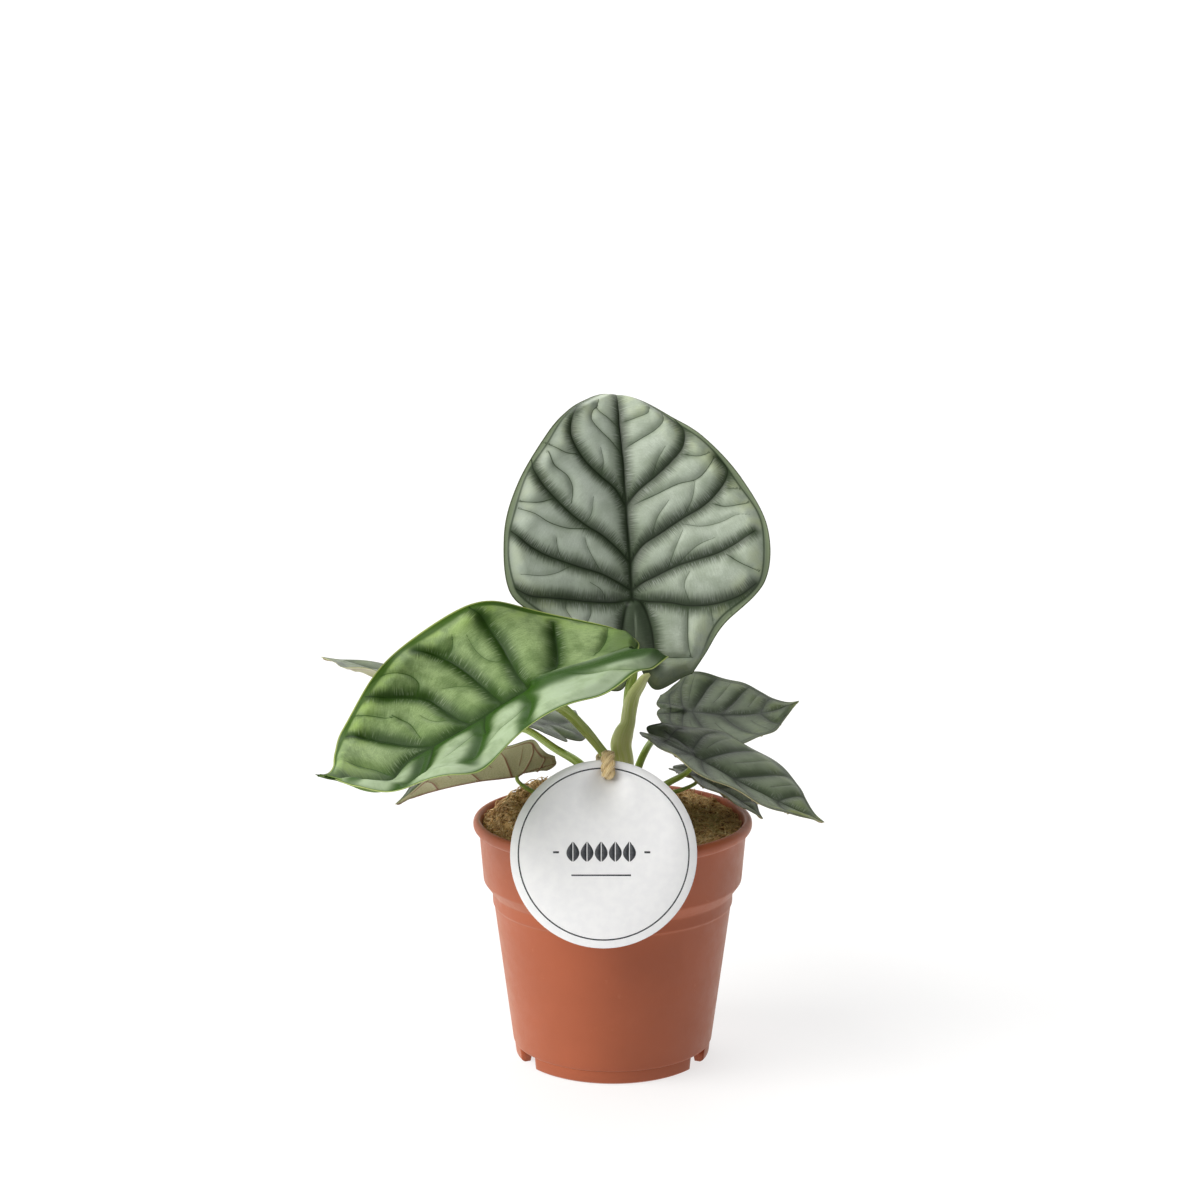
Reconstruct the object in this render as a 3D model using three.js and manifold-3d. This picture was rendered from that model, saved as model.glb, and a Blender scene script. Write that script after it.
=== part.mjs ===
// A silver dragon alocasia in a 12 cm nursery pot, with a round card tag on a twine loop.
// Units are millimetres and +Z is up. The plant is described about the pot's axis, with the
// pot standing on z = 0, and the whole group is then centred on its own footprint.
import * as THREE from "three";
import { mergeVertices } from "three/addons/utils/BufferGeometryUtils.js";
import Module from "manifold-3d";

const wasm = await Module();
wasm.setup();

// Driving dimensions of the pot
const RIM_RADIUS = 60;
const POT_HEIGHT = 105.2;
const COLLAR_HEIGHT = 27;
const FOOT_RADIUS = 41;
const FOOT_HEIGHT = 6.2;
const WALL = 1.5;
const POT_SEGMENTS = 48;
const NOTCH_ANGLES = [59, 180, 301];
const NOTCH_WIDTH = 11.5;
const DRAIN_HOLES = 6;
const DRAIN_RADIUS = 3.5;
const DRAIN_CIRCLE = 26;
const GAP = 0.3;

// Driving dimensions of the soil
const SOIL_EDGE_HEIGHT = 102.5;
const SOIL_TILT = 0.03;
const MOUND = { x: -16, y: 16, height: 12, spread: 24 };
const LUMPS = 70;
const LUMP_HEIGHT = 2.2;
const LUMP_RADIUS = 4.6;

// Driving dimensions of the tag and its twine
const TAG_RADIUS = 37.7;
const TAG_THICKNESS = 0.7;
const TAG_LEAN = 16;
const TAG_CENTRE = [-4, -60.3, 105.5];
const TAG_HOLE_UP = 32.7;
const TAG_HOLE_ACROSS = 1.8;
const TAG_HOLE_RADIUS = 2.9;

// Thickness of a leaf blade, the straight run of a petiole under it, and how many rows one
// wave of its margin takes
const BLADE = 0.9;
const SQUARE_RUN = 4;
const WAVE_ROWS = 2.2;

// The pattern of half a leaf, as shares of the length from the petiole's joint to the tip.
// A row follows one side vein: how far up the midrib it starts, then across and along to
// the point that bends it, then across and along to its end on the margin. Rows run from
// the tip to the cleft between the two lobes.
const ROWS = [
  [1, 0, 1, 0, 1],
  [0.93, 0.012, 0.935, 0.022, 0.935],
  [0.8, 0.09, 0.845, 0.145, 0.895],
  [0.68, 0.17, 0.74, 0.24, 0.835],
  [0.46, 0.26, 0.6, 0.37, 0.72],
  [0.2, 0.33, 0.41, 0.52, 0.51],
  [0.04, 0.33, 0.16, 0.61, 0.27],
  [-0.01, 0.3, -0.07, 0.59, 0.02],
  [-0.15, 0.25, -0.19, 0.44, -0.17],
  [-0.32, 0.15, -0.35, 0.28, -0.34],
  [-0.45, 0.05, -0.57, 0.19, -0.51],
];
const LAST_ROW = ROWS.length - 1;

// Rows of the two large leaves that differ from the pattern, by row number.
const UPRIGHT_LEFT = {
  1: [0.965, 0.02, 0.98, 0.05, 0.98], 2: [0.8, 0.09, 0.86, 0.15, 0.907],
  3: [0.68, 0.17, 0.75, 0.25, 0.838], 8: [-0.12, 0.25, -0.19, 0.41, -0.14],
  9: [-0.22, 0.15, -0.33, 0.27, -0.34], 10: [-0.3, 0.07, -0.5, 0.17, -0.51],
};
const UPRIGHT_RIGHT = {
  1: [0.965, 0.02, 0.97, 0.045, 0.972], 2: [0.8, 0.09, 0.845, 0.14, 0.886],
  3: [0.68, 0.17, 0.74, 0.225, 0.813], 4: [0.46, 0.26, 0.6, 0.36, 0.7],
  5: [0.2, 0.33, 0.41, 0.515, 0.505], 7: [-0.01, 0.3, -0.07, 0.58, 0.035],
  8: [-0.12, 0.25, -0.19, 0.43, -0.165], 9: [-0.22, 0.15, -0.33, 0.27, -0.34],
  10: [-0.3, 0.07, -0.5, 0.17, -0.51],
};
const FRONT_LEFT = {
  4: [0.47, 0.26, 0.6, 0.37, 0.72], 5: [0.21, 0.33, 0.41, 0.52, 0.51],
  6: [0.04, 0.24, 0.1, 0.42, 0.25], 7: [-0.01, 0.25, -0.07, 0.44, -0.03],
};
const FRONT_RIGHT = {
  2: [0.8, 0.07, 0.83, 0.1, 0.87], 3: [0.68, 0.15, 0.74, 0.2, 0.82],
  4: [0.49, 0.24, 0.62, 0.35, 0.72], 5: [0.3, 0.33, 0.41, 0.52, 0.51],
  6: [0.13, 0.33, 0.16, 0.61, 0.27], 7: [0, 0.32, -0.07, 0.6, 0],
  8: [-0.15, 0.27, -0.19, 0.485, -0.17], 9: [-0.32, 0.15, -0.35, 0.31, -0.33],
  10: [-0.45, 0.05, -0.5, 0.16, -0.45],
};

// The seven leaves. joint is where the petiole meets the blade. heading and pitch point the
// tip, roll turns the blade about its midrib and swing turns it in its own plane, in degrees.
// left and right are the blade's rise from midrib to margin, at the midrib and at the margin.
// droop bends the front and lobeDroop the lobes. wave and crest are the height of the
// margin's waves and the row of a crest, for the left and the right half.
const LEAVES = [
  { name: "leaf_upright", joint: [8.5, 34, 194.6], heading: 97, pitch: 69, roll: 0, swing: 1,
    length: 101.5, width: [0.925, 1], lobes: 0.8, left: [15, 8], right: [6, 9],
    droop: 62, droopPower: 6, lobeDroop: 34, wave: [1.5, 1.5], crest: [6.2, 6.2],
    rows: [UPRIGHT_LEFT, UPRIGHT_RIGHT], detail: 4, columns: 7 },
  { name: "leaf_front_left", joint: [-35.6, -28, 166.5], heading: 201, pitch: -30, roll: 24,
    swing: 0, length: 99.6, width: [0.9, 0.92], lobes: 1.32, left: [8, 52], right: [-15, 47],
    droop: -48, droopPower: 2, lobeDroop: 36, wave: [4, 5], crest: [6.5, 7.3],
    rows: [FRONT_LEFT, FRONT_RIGHT], detail: 4, columns: 7 },
  { name: "leaf_right_upper", joint: [34.1, 53, 139.3], heading: 2, pitch: -8, roll: -3,
    swing: 0, length: 51.9, width: [1, 1.1], lobes: 0.52, left: [16, 25], right: [-18, 24],
    droop: -40, droopPower: 2, lobeDroop: 4, wave: [1.5, 1.5], crest: [4.5, 4.5],
    detail: 2, columns: 5 },
  { name: "leaf_right_lower", joint: [34.9, -17, 134.6], heading: -21, pitch: -25.5, roll: 6,
    swing: 0, length: 60.5, width: [1, 1], lobes: 0.81, left: [20, 3], right: [2, 15],
    droop: -11, droopPower: 2, lobeDroop: 8, wave: [1.2, 1.2], crest: [5.2, 5.2],
    detail: 2, columns: 5 },
  { name: "leaf_right_small", joint: [37.1, 11, 118.9], heading: -26, pitch: -20.5, roll: 11,
    swing: 0, length: 34.1, width: [1, 1], lobes: 0.74, left: [15, 10], right: [0, 16],
    droop: 14, droopPower: 2, lobeDroop: 17, wave: [0.8, 0.8], crest: [4.8, 4.8],
    detail: 2, columns: 5 },
  { name: "leaf_back_left", joint: [-46.3, 43, 141], heading: 152, pitch: 9, roll: -12,
    swing: 0, length: 100.7, width: [1, 1], lobes: 0.65, left: [5, 8], right: [10, -8],
    droop: 0, droopPower: 2, lobeDroop: 35, wave: [1.5, 1.5], crest: [5.5, 5.5],
    detail: 2, columns: 5 },
  { name: "leaf_low_left", joint: [-40.5, -19, 127.7], heading: 200, pitch: -2, roll: -29,
    swing: 0, length: 54.2, width: [1, 1], lobes: 0.6, left: [14, 5], right: [35, 13],
    droop: 19, droopPower: 2, lobeDroop: -10, wave: [1, 1], crest: [5, 5],
    detail: 2, columns: 5 },
];

// The stems. Each follows its points, with the radius given last, from the soil up. A stem
// that bears a leaf then turns into the underside of its blade, where it has the top radius.
const SHEATH = [
  [4, 4, 92, 4.5], [4.4, 4.4, 112, 4.5], [4.8, 5, 128, 4.3], [3.6, 6.5, 134.8, 4.6],
  [4.9, 8.5, 139.6, 4.2], [6.4, 10, 143, 3.3], [7, 12, 146.8, 3.2], [7.9, 15, 151, 3.2],
  [9.2, 17, 154.6, 2.9], [12.2, 18.3, 159.1, 2.4], [14, 18.5, 161.9, 1.8],
  [16.2, 18.5, 163.4, 0.7],
];
const UPRIGHT_PETIOLE = {
  leaf: "leaf_upright", top: 1.9, squareRun: 1.5,
  points: [[6.4, 13, 147, 2], [6.7, 17.5, 152.8, 2], [7.3, 20.5, 156.6, 2], [8.8, 25, 160.5, 2],
    [9.3, 30, 165.5, 2], [9.2, 34.5, 173, 2], [8.8, 37.4, 182, 1.9], [8.5, 38.1, 188.5, 1.9]],
};
const FRONT_PETIOLE = {
  leaf: "leaf_front_left", top: 2,
  points: [[3, 5, 119, 2.2], [-1.6, 4, 128.5, 2.1], [-5.7, 1.5, 134.8, 2],
    [-13.1, -5, 145.3, 2.3], [-22.3, -12, 155.5, 2.3]],
};
const PETIOLES = [
  { name: "petiole_right_upper", leaf: "leaf_right_upper", top: 1.2,
    points: [[9, 13, 94, 1.7], [9.2, 12, 112, 1.7], [11, 11, 123, 1.7], [14.2, 15, 129.8, 1.6],
      [19, 28, 133, 1.5], [26, 42, 133.4, 1.3]] },
  { name: "petiole_right_lower", leaf: "leaf_right_lower", top: 1.1,
    points: [[12.6, 0.5, 94, 1.5], [14.2, 0.8, 109, 1.5], [20.4, 0, 117.2, 1.5],
      [25, -3, 121, 1.4], [29, -9, 124.8, 1.3]] },
  { name: "petiole_right_small", leaf: "leaf_right_small", top: 0.8,
    points: [[15, 7, 94, 1], [16.6, 7, 107.6, 1], [23, 8, 112.4, 0.95], [29.5, 9.8, 113.8, 0.9]] },
  { name: "petiole_back_left", leaf: "leaf_back_left", top: 1.4,
    points: [[-5, 11, 94, 2], [-7, 10.5, 113, 1.9], [-12.8, 11, 123.8, 1.9],
      [-25.6, 21.5, 129.9, 1.7], [-37.2, 34.5, 134.6, 1.6]] },
  { name: "petiole_low_left", leaf: "leaf_low_left", top: 0.8,
    points: [[-12, -6, 94, 1.2], [-14.5, -7, 108, 1.2], [-25, -9.6, 114.4, 1.1],
      [-32.5, -14, 118.6, 1]] },
];

// The twine's loop: x, y, z, half its width and half its depth. It runs from the knot behind
// the fork, over the tag, through the hole and back to the knot.
const TWINE = [
  [-4, 12.5, 137.2, 0.6, 0.7], [-2.3, 7, 137.2, 0.6, 0.7], [-2.2, 0, 137.2, 0.6, 0.7],
  [-2.2, -8, 138.2, 1.5, 0.9], [-2.2, -26, 140.6, 2.1, 1], [-2.2, -41, 143.1, 2.3, 1],
  [-2.2, -48.4, 144.3, 2.4, 0.9], [-2.2, -52, 142.6, 2.5, 0.8], [-2.2, -53.5, 139.4, 2.4, 0.8],
  [-2.2, -53, 137.2, 2.1, 0.8], [-2.2, -51.2, 136.7, 2, 0.8], [-2.2, -48.5, 135.9, 2, 0.8],
  [-2.2, -40, 134.9, 2, 0.9], [-2.2, -24, 134.6, 2, 1], [-2.2, -8, 135, 1.5, 0.9],
  [-2.2, 0, 135.4, 0.6, 0.7], [-2.3, 7, 135.4, 0.6, 0.7], [-4, 12.5, 135.2, 0.6, 0.7],
];
const KNOT = { at: [-4.6, 13.6, 136.2], radius: 3.1 };

const POT_PLASTIC = { color: "#b8674a", roughness: 0.55 };
const SOIL_COIR = { color: "#5d4630", roughness: 0.95 };
const LEAF_SILVER = { color: "#8fa294", roughness: 0.42 };
const LEAF_GREEN = { color: "#6f9a55", roughness: 0.42 };
const LEAF_DARK = { color: "#5c6a60", roughness: 0.45 };
const STEM_GREEN = { color: "#8a9c4c", roughness: 0.5 };
const TAG_CARD = { color: "#f1f2f3", roughness: 0.6 };
const TWINE_JUTE = { color: "#b89767", roughness: 0.9 };

const LEAF_FINISH = {
  leaf_upright: LEAF_SILVER,
  leaf_front_left: LEAF_GREEN,
};

const radians = THREE.MathUtils.degToRad;

// A closed geometry as a manifold solid, and back.
function solidOf(geometry) {
  const bare = geometry.index ? geometry.clone() : geometry;
  bare.deleteAttribute("normal");
  bare.deleteAttribute("uv");
  const merged = mergeVertices(bare, 1e-4);
  return new wasm.Manifold(
    new wasm.Mesh({
      numProp: 3,
      vertProperties: merged.attributes.position.array,
      triVerts: new Uint32Array(merged.index.array),
    }),
  );
}

function geometryOf(solid) {
  const mesh = solid.getMesh();
  const geometry = new THREE.BufferGeometry();
  geometry.setAttribute("position", new THREE.BufferAttribute(mesh.vertProperties, 3));
  geometry.setIndex(new THREE.BufferAttribute(mesh.triVerts, 1));
  geometry.computeVertexNormals();
  return geometry;
}

function named(name, geometry, finish) {
  const mesh = new THREE.Mesh(geometry, new THREE.MeshStandardMaterial(finish));
  mesh.name = name;
  return mesh;
}

// A geometry from rings of points: each ring is joined to the next, and the first and
// last rings are closed by a point in their middle.
function skin(rings) {
  const points = rings.flat();
  const size = rings[0].length;
  const middle = (ring) =>
    ring.reduce((sum, p) => sum.add(p), new THREE.Vector3()).divideScalar(ring.length);
  const first = points.push(middle(rings[0])) - 1;
  const last = points.push(middle(rings[rings.length - 1])) - 1;
  const index = [];
  for (let i = 0; i < size; i++) {
    const j = (i + 1) % size;
    for (let k = 0; k + 1 < rings.length; k++) {
      const a = k * size + i, b = k * size + j;
      index.push(a, b, b + size, a, b + size, a + size);
    }
    const end = (rings.length - 1) * size;
    index.push(first, j, i, last, end + i, end + j);
  }
  const geometry = new THREE.BufferGeometry().setFromPoints(points);
  geometry.setIndex(index);
  return geometry;
}

// A tapered tube with an oval section along a smooth curve. Each knot is x, y, z, half the
// width across the side direction, and half the depth.
function taperedTube(knots, sides, steps, side) {
  const curve = new THREE.CatmullRomCurve3(knots.map((k) => new THREE.Vector3(k[0], k[1], k[2])));
  const widths = new THREE.CatmullRomCurve3(
    knots.map((k) => new THREE.Vector3(k[3], k[4] ?? k[3], 0)));
  const rings = [];
  for (let i = 0; i <= steps; i++) {
    const t = i / steps;
    const centre = curve.getPoint(t);
    const ahead = curve.getTangent(t);
    const up = new THREE.Vector3().crossVectors(ahead, side).normalize();
    const across = new THREE.Vector3().crossVectors(up, ahead).normalize();
    const size = widths.getPoint(t);
    rings.push(Array.from({ length: sides }, (_, j) => {
      const a = (2 * Math.PI * j) / sides;
      return centre.clone()
        .addScaledVector(across, size.x * Math.cos(a))
        .addScaledVector(up, size.y * Math.sin(a));
    }));
  }
  return skin(rings);
}

// The pot: a thin tapered wall with a stepped collar and a rolled lip, turned about its axis.
function pot() {
  const shoulder = POT_HEIGHT - COLLAR_HEIGHT;
  const outside = [
    [0, FOOT_HEIGHT + 0.3], [37, FOOT_HEIGHT + 0.3], [38.4, 0], [FOOT_RADIUS, 0], [42.2, 0.8],
    [42.7, FOOT_HEIGHT - 0.4], [43.3, FOOT_HEIGHT + 0.3], [51.2, shoulder - 11],
    [51.8, shoulder - 10.2], [51.9, shoulder - 5.2], [55.7, shoulder], [57.5, POT_HEIGHT - 5.4],
    [59.3, POT_HEIGHT - 4.8], [RIM_RADIUS, POT_HEIGHT - 3.4], [RIM_RADIUS, POT_HEIGHT - 1.6],
    [59.2, POT_HEIGHT - 0.3], [57.9, POT_HEIGHT], [56.8, POT_HEIGHT - 0.6],
  ];
  const inside = [
    [56.2, POT_HEIGHT - 2.4], [54.3, shoulder + 0.4], [50.4, shoulder - 4.8], [49.7, shoulder - 11],
    [41.6, FOOT_HEIGHT + 3.2], [40.6, FOOT_HEIGHT + 0.3 + WALL], [0, FOOT_HEIGHT + 0.3 + WALL],
  ];
  const profile = [...outside, ...inside].map(([r, z]) => new THREE.Vector2(r, z));
  const body = new THREE.LatheGeometry(profile, POT_SEGMENTS).rotateX(Math.PI / 2);
  let solid = solidOf(body);
  for (const angle of NOTCH_ANGLES) {
    const notch = new THREE.BoxGeometry(NOTCH_WIDTH, 12, 2 * (FOOT_HEIGHT - 0.5))
      .translate(0, -FOOT_RADIUS, 0)
      .rotateZ(radians(angle));
    solid = solid.subtract(solidOf(notch));
  }
  for (let i = 0; i < DRAIN_HOLES; i++) {
    const hole = new THREE.CylinderGeometry(DRAIN_RADIUS, DRAIN_RADIUS, 6, 12)
      .rotateX(Math.PI / 2)
      .translate(DRAIN_CIRCLE, 0, FOOT_HEIGHT + 1)
      .rotateZ((2 * Math.PI * (i + 0.5)) / DRAIN_HOLES);
    solid = solid.subtract(solidOf(hole));
  }
  return geometryOf(solid);
}

// The lumps of the soil, scattered by a small generator with a fixed seed.
function soilLumps() {
  let state = 7;
  const draw = () => {
    state = (state * 1664525 + 1013904223) % 4294967296;
    return state / 4294967296;
  };
  return Array.from({ length: LUMPS }, () => {
    const radius = 52 * Math.sqrt(draw());
    const angle = 2 * Math.PI * draw();
    const height = LUMP_HEIGHT * (draw() * 1.5 - 0.5);
    return [radius * Math.cos(angle), radius * Math.sin(angle), height];
  });
}

// Height of the soil: a tilted plane, a broad mound round the stems and the small lumps.
function soilHeight(x, y, lumps) {
  const bell = (dx, dy, spread) => Math.exp(-(dx * dx + dy * dy) / (2 * spread * spread));
  let z = SOIL_EDGE_HEIGHT - SOIL_TILT * x;
  z += MOUND.height * bell(x - MOUND.x, y - MOUND.y, MOUND.spread);
  for (const [lx, ly, height] of lumps) z += height * bell(x - lx, y - ly, LUMP_RADIUS);
  const edge = THREE.MathUtils.smoothstep(Math.hypot(x, y), 46, 55);
  return THREE.MathUtils.lerp(z, Math.min(z, 101), edge);
}

// The filled soil: a plug inside the pot's wall whose top has the mound's relief, with a
// plain hole for each stem.
function soil(holes) {
  const lumps = soilLumps();
  const shoulder = POT_HEIGHT - COLLAR_HEIGHT;
  const wall = [
    [34, FOOT_HEIGHT + 0.3 + WALL + GAP], [40, FOOT_HEIGHT + 0.3 + WALL + GAP],
    [41.2, FOOT_HEIGHT + 3.4], [49.3, shoulder - 11], [50, shoulder - 5], [53.8, shoulder + 0.6],
    [55.1, 98.5],
  ];
  const around = (radius, z) => Array.from({ length: POT_SEGMENTS }, (_, j) => {
    const a = (2 * Math.PI * j) / POT_SEGMENTS;
    const x = radius * Math.cos(a), y = radius * Math.sin(a);
    return new THREE.Vector3(x, y, z ?? soilHeight(x, y, lumps));
  });
  const rings = wall.map(([radius, z]) => around(radius, z));
  for (const radius of [53.5, 48.5, 43.5, 38.5, 33.5, 28.5, 23.5, 18.5, 13, 7]) {
    rings.push(around(radius));
  }
  let solid = solidOf(skin(rings));
  for (const tube of holes) solid = solid.subtract(tube);
  return geometryOf(solid);
}

// Value at place v of a number that each row gives, smoothly between the rows.
function between(values, v) {
  const k = Math.min(Math.floor(v), LAST_ROW - 1);
  const t = v - k;
  const at = (i) => values[THREE.MathUtils.clamp(i, 0, LAST_ROW)];
  const [a, b, c, d] = [at(k - 1), at(k), at(k + 1), at(k + 2)];
  return b + 0.5 * t * (c - a + t * (2 * a - 5 * b + 4 * c - d + t * (3 * (b - c) + d - a)));
}

// Point of the flat half-leaf: u from the midrib to the margin, v from the tip to the cleft.
// Side 0 is the midrib itself, halfway between the starts of the two halves.
function flatPoint(leaf, side, u, v) {
  if (side === 0) return [0, (flatPoint(leaf, -1, 0, v)[1] + flatPoint(leaf, 1, 0, v)[1]) / 2];
  const half = side > 0 ? 1 : 0;
  const own = leaf.rows?.[half] ?? {};
  const rows = ROWS.map((row, k) => own[k] ?? row);
  const across = (share) => share * leaf.width[half] * leaf.length;
  const along = (share) => (share < 0 ? share * leaf.lobes : share) * leaf.length;
  const start = between(rows.map((row) => along(row[0])), v);
  const bendX = between(rows.map((row) => across(row[1])), v);
  const bendY = between(rows.map((row) => along(row[2])), v);
  const endX = between(rows.map((row) => across(row[3])), v);
  const endY = between(rows.map((row) => along(row[4])), v);
  const x = 2 * u * (1 - u) * bendX + u * u * endX;
  const y = (1 - u) ** 2 * start + 2 * u * (1 - u) * bendY + u * u * endY;
  return [x, y];
}

// Height of the relief: pillows between the sunken side veins, with a lesser vein along the
// middle of each pillow, and level ground at the midrib and along the margin.
function relief(leaf, side, u, v) {
  const k = Math.min(Math.floor(v), LAST_ROW - 1);
  const t = v - k;
  if (k < 1 || side === 0) return 0;
  const [ax, ay] = flatPoint(leaf, side, u, k);
  const [bx, by] = flatPoint(leaf, side, u, k + 1);
  const gap = Math.hypot(bx - ax, by - ay);
  const tall = Math.min(0.1 * gap, 0.018 * leaf.length);
  const pillow = Math.pow(Math.max(4 * t * (1 - t), 0), 0.6);
  const lesser = Math.exp(-(((t - 0.5) / 0.09) ** 2)) * THREE.MathUtils.smoothstep(u, 0.35, 0.6);
  const inner = THREE.MathUtils.smoothstep(u, 0, 0.14);
  const outer = 1 - THREE.MathUtils.smoothstep(u, 0.8, 0.95);
  return tall * pillow * (1 - 0.35 * lesser) * inner * outer;
}

// Sum of the steps of a line whose slope angle changes along it: how far out and how far up.
function bentLine(angleAt, length) {
  const steps = 24;
  let out = 0, up = 0;
  for (let i = 0; i < steps; i++) {
    const angle = angleAt(((i + 0.5) / steps) * length);
    out += (Math.cos(angle) * length) / steps;
    up += (Math.sin(angle) * length) / steps;
  }
  return [out, up];
}

// The three directions of a leaf: across to its right, along to its tip, and out of its face.
function leafAxes(leaf) {
  const heading = radians(leaf.heading), pitch = radians(leaf.pitch);
  const tip = new THREE.Vector3(
    Math.cos(heading) * Math.cos(pitch), Math.sin(heading) * Math.cos(pitch), Math.sin(pitch));
  const right = new THREE.Vector3(Math.sin(heading), -Math.cos(heading), 0);
  const face = new THREE.Vector3().crossVectors(right, tip);
  right.applyAxisAngle(tip, -radians(leaf.roll));
  face.applyAxisAngle(tip, -radians(leaf.roll));
  right.applyAxisAngle(face, radians(leaf.swing));
  tip.applyAxisAngle(face, radians(leaf.swing));
  return { right, tip, face };
}

// Point of the leaf's middle surface in space.
function leafPoint(leaf, side, u, v) {
  const [x, y] = flatPoint(leaf, side, u, v);
  const { right, tip, face } = leafAxes(leaf);
  const [atRib, atMargin] = (side > 0 ? leaf.right : leaf.left).map(radians);
  const reach = 0.62 * leaf.length;
  const rise = (d) => atRib + (atMargin - atRib) * Math.min(d / reach, 1.3);
  const [out, up] = bentLine(rise, x);
  const droop = radians(leaf.droop), lobeDroop = radians(leaf.lobeDroop);
  const slope = (s) =>
    s >= 0 ? -droop * (s / leaf.length) ** leaf.droopPower : (-lobeDroop * s) / (0.5 * leaf.length);
  const [along, lift] = bentLine(slope, y);
  const half = side > 0 ? 1 : 0;
  const ripple = leaf.wave[half] * Math.cos((2 * Math.PI * (v - leaf.crest[half])) / WAVE_ROWS);
  const height = relief(leaf, side, u, v) + ripple * (x / (0.55 * leaf.length)) ** 2;
  const across = side * (out - height * Math.sin(rise(x)));
  const high = up + height * Math.cos(rise(x));
  const angle = slope(y);
  return new THREE.Vector3(...leaf.joint)
    .addScaledVector(right, across)
    .addScaledVector(tip, along - Math.sin(angle) * high)
    .addScaledVector(face, lift + Math.cos(angle) * high);
}

// A blade: its middle surface as a grid from the left margin over the midrib to the right
// margin, thickened to both sides with the same triangles on both faces.
function blade(leaf) {
  const shares = leaf.columns === 7
    ? [0, 0.1, 0.25, 0.42, 0.6, 0.78, 0.92, 1]
    : [0, 0.14, 0.38, 0.66, 0.92, 1];
  const columns = [...shares.slice(1).reverse().map((u) => [-1, u]), [0, 0], ...shares.slice(1).map((u) => [1, u])];
  const rows = [0.35];
  for (let i = 1; i <= LAST_ROW * leaf.detail; i++) {
    if (i / leaf.detail > 0.5) rows.push(i / leaf.detail);
  }
  const grid = rows.map((v) => columns.map(([side, u]) => leafPoint(leaf, side, u, v)));
  const wide = columns.length, long = rows.length;
  const at = (i, j) =>
    grid[THREE.MathUtils.clamp(i, 0, long - 1)][THREE.MathUtils.clamp(j, 0, wide - 1)];
  const faces = grid.map((row, i) => row.map((_, j) => {
    const down = at(i + 1, j).clone().sub(at(i - 1, j));
    const across = at(i, j + 1).clone().sub(at(i, j - 1));
    return down.cross(across).normalize();
  }));
  const points = [];
  for (const offset of [BLADE / 2, -BLADE / 2]) {
    grid.forEach((row, i) => row.forEach((p, j) =>
      points.push(p.clone().addScaledVector(faces[i][j], offset))));
  }
  const index = [];
  const under = wide * long;
  const quad = (a, b, c, d) => index.push(a, b, c, a, c, d);
  for (let i = 0; i + 1 < long; i++) {
    for (let j = 0; j + 1 < wide; j++) {
      const a = i * wide + j, b = a + 1, c = a + wide + 1, d = a + wide;
      quad(a, d, c, b);
      index.push(under + a, under + c, under + d, under + a, under + b, under + c);
    }
  }
  for (let i = 0; i + 1 < long; i++) {
    const left = i * wide, right = left + wide - 1;
    quad(left, under + left, under + left + wide, left + wide);
    quad(right, right + wide, under + right + wide, under + right);
  }
  for (let j = 0; j + 1 < wide; j++) {
    const end = (long - 1) * wide + j;
    quad(j, j + 1, under + j + 1, under + j);
    quad(end, under + end, under + end + 1, end + 1);
  }
  const geometry = new THREE.BufferGeometry().setFromPoints(points);
  geometry.setIndex(index);
  return geometry;
}

// The knots of a stem that ends just under its leaf, square to the blade.
function stemKnots(stem) {
  const leaf = LEAVES.find(({ name }) => name === stem.leaf);
  const { face } = leafAxes(leaf);
  const sag = Math.max(0, -leaf.left[0], -leaf.right[0]);
  const clear = BLADE / 2 + 1.3 * GAP + stem.top * Math.tan(radians(sag));
  const below = (distance) =>
    new THREE.Vector3(...leaf.joint).addScaledVector(face, -distance).toArray();
  const start = clear + (stem.squareRun ?? SQUARE_RUN);
  return [...stem.points, [...below(start), stem.top], [...below(clear), stem.top]];
}

function stemTube(knots, sides, steps) {
  return taperedTube(knots, sides, steps, new THREE.Vector3(1, 0, 0.01));
}

// The plain hole that a stem stands in: the stem's own tube, wider by the gap all round.
function stemHole(knots, sides, steps) {
  const wide = knots.map(([x, y, z, radius]) => [x, y, z, radius + 1.3 * GAP]);
  wide[0][2] -= GAP;
  return solidOf(stemTube(wide, sides, steps));
}

// The main shoot: the sheath with its pointed tip, and the petioles of the upright and the
// front left leaf growing out of it.
function mainShoot() {
  const sheath = solidOf(stemTube(SHEATH, 12, 26));
  const upright = solidOf(stemTube(stemKnots(UPRIGHT_PETIOLE), 8, 18));
  const front = solidOf(stemTube(stemKnots(FRONT_PETIOLE), 8, 18));
  return geometryOf(sheath.add(upright).add(front));
}

// The round card with its punched hole, leaning back against the pot's lip.
function tagCard() {
  const outline = new THREE.Shape().absarc(0, 0, TAG_RADIUS, 0, 2 * Math.PI);
  const hole = new THREE.Path()
    .absarc(TAG_HOLE_ACROSS, TAG_HOLE_UP, TAG_HOLE_RADIUS, 0, 2 * Math.PI);
  outline.holes.push(hole);
  const card = new THREE.ExtrudeGeometry(outline, {
    depth: TAG_THICKNESS, bevelEnabled: false, curveSegments: 24,
  });
  card.translate(0, 0, -TAG_THICKNESS / 2).rotateX(Math.PI / 2 - radians(TAG_LEAN));
  return card.translate(...TAG_CENTRE);
}

function tagTwine() {
  const loop = solidOf(taperedTube(TWINE, 6, 46, new THREE.Vector3(1, 0, 0)));
  const knot = new THREE.SphereGeometry(KNOT.radius, 10, 8).translate(...KNOT.at);
  return geometryOf(loop.add(solidOf(knot)));
}

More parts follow.
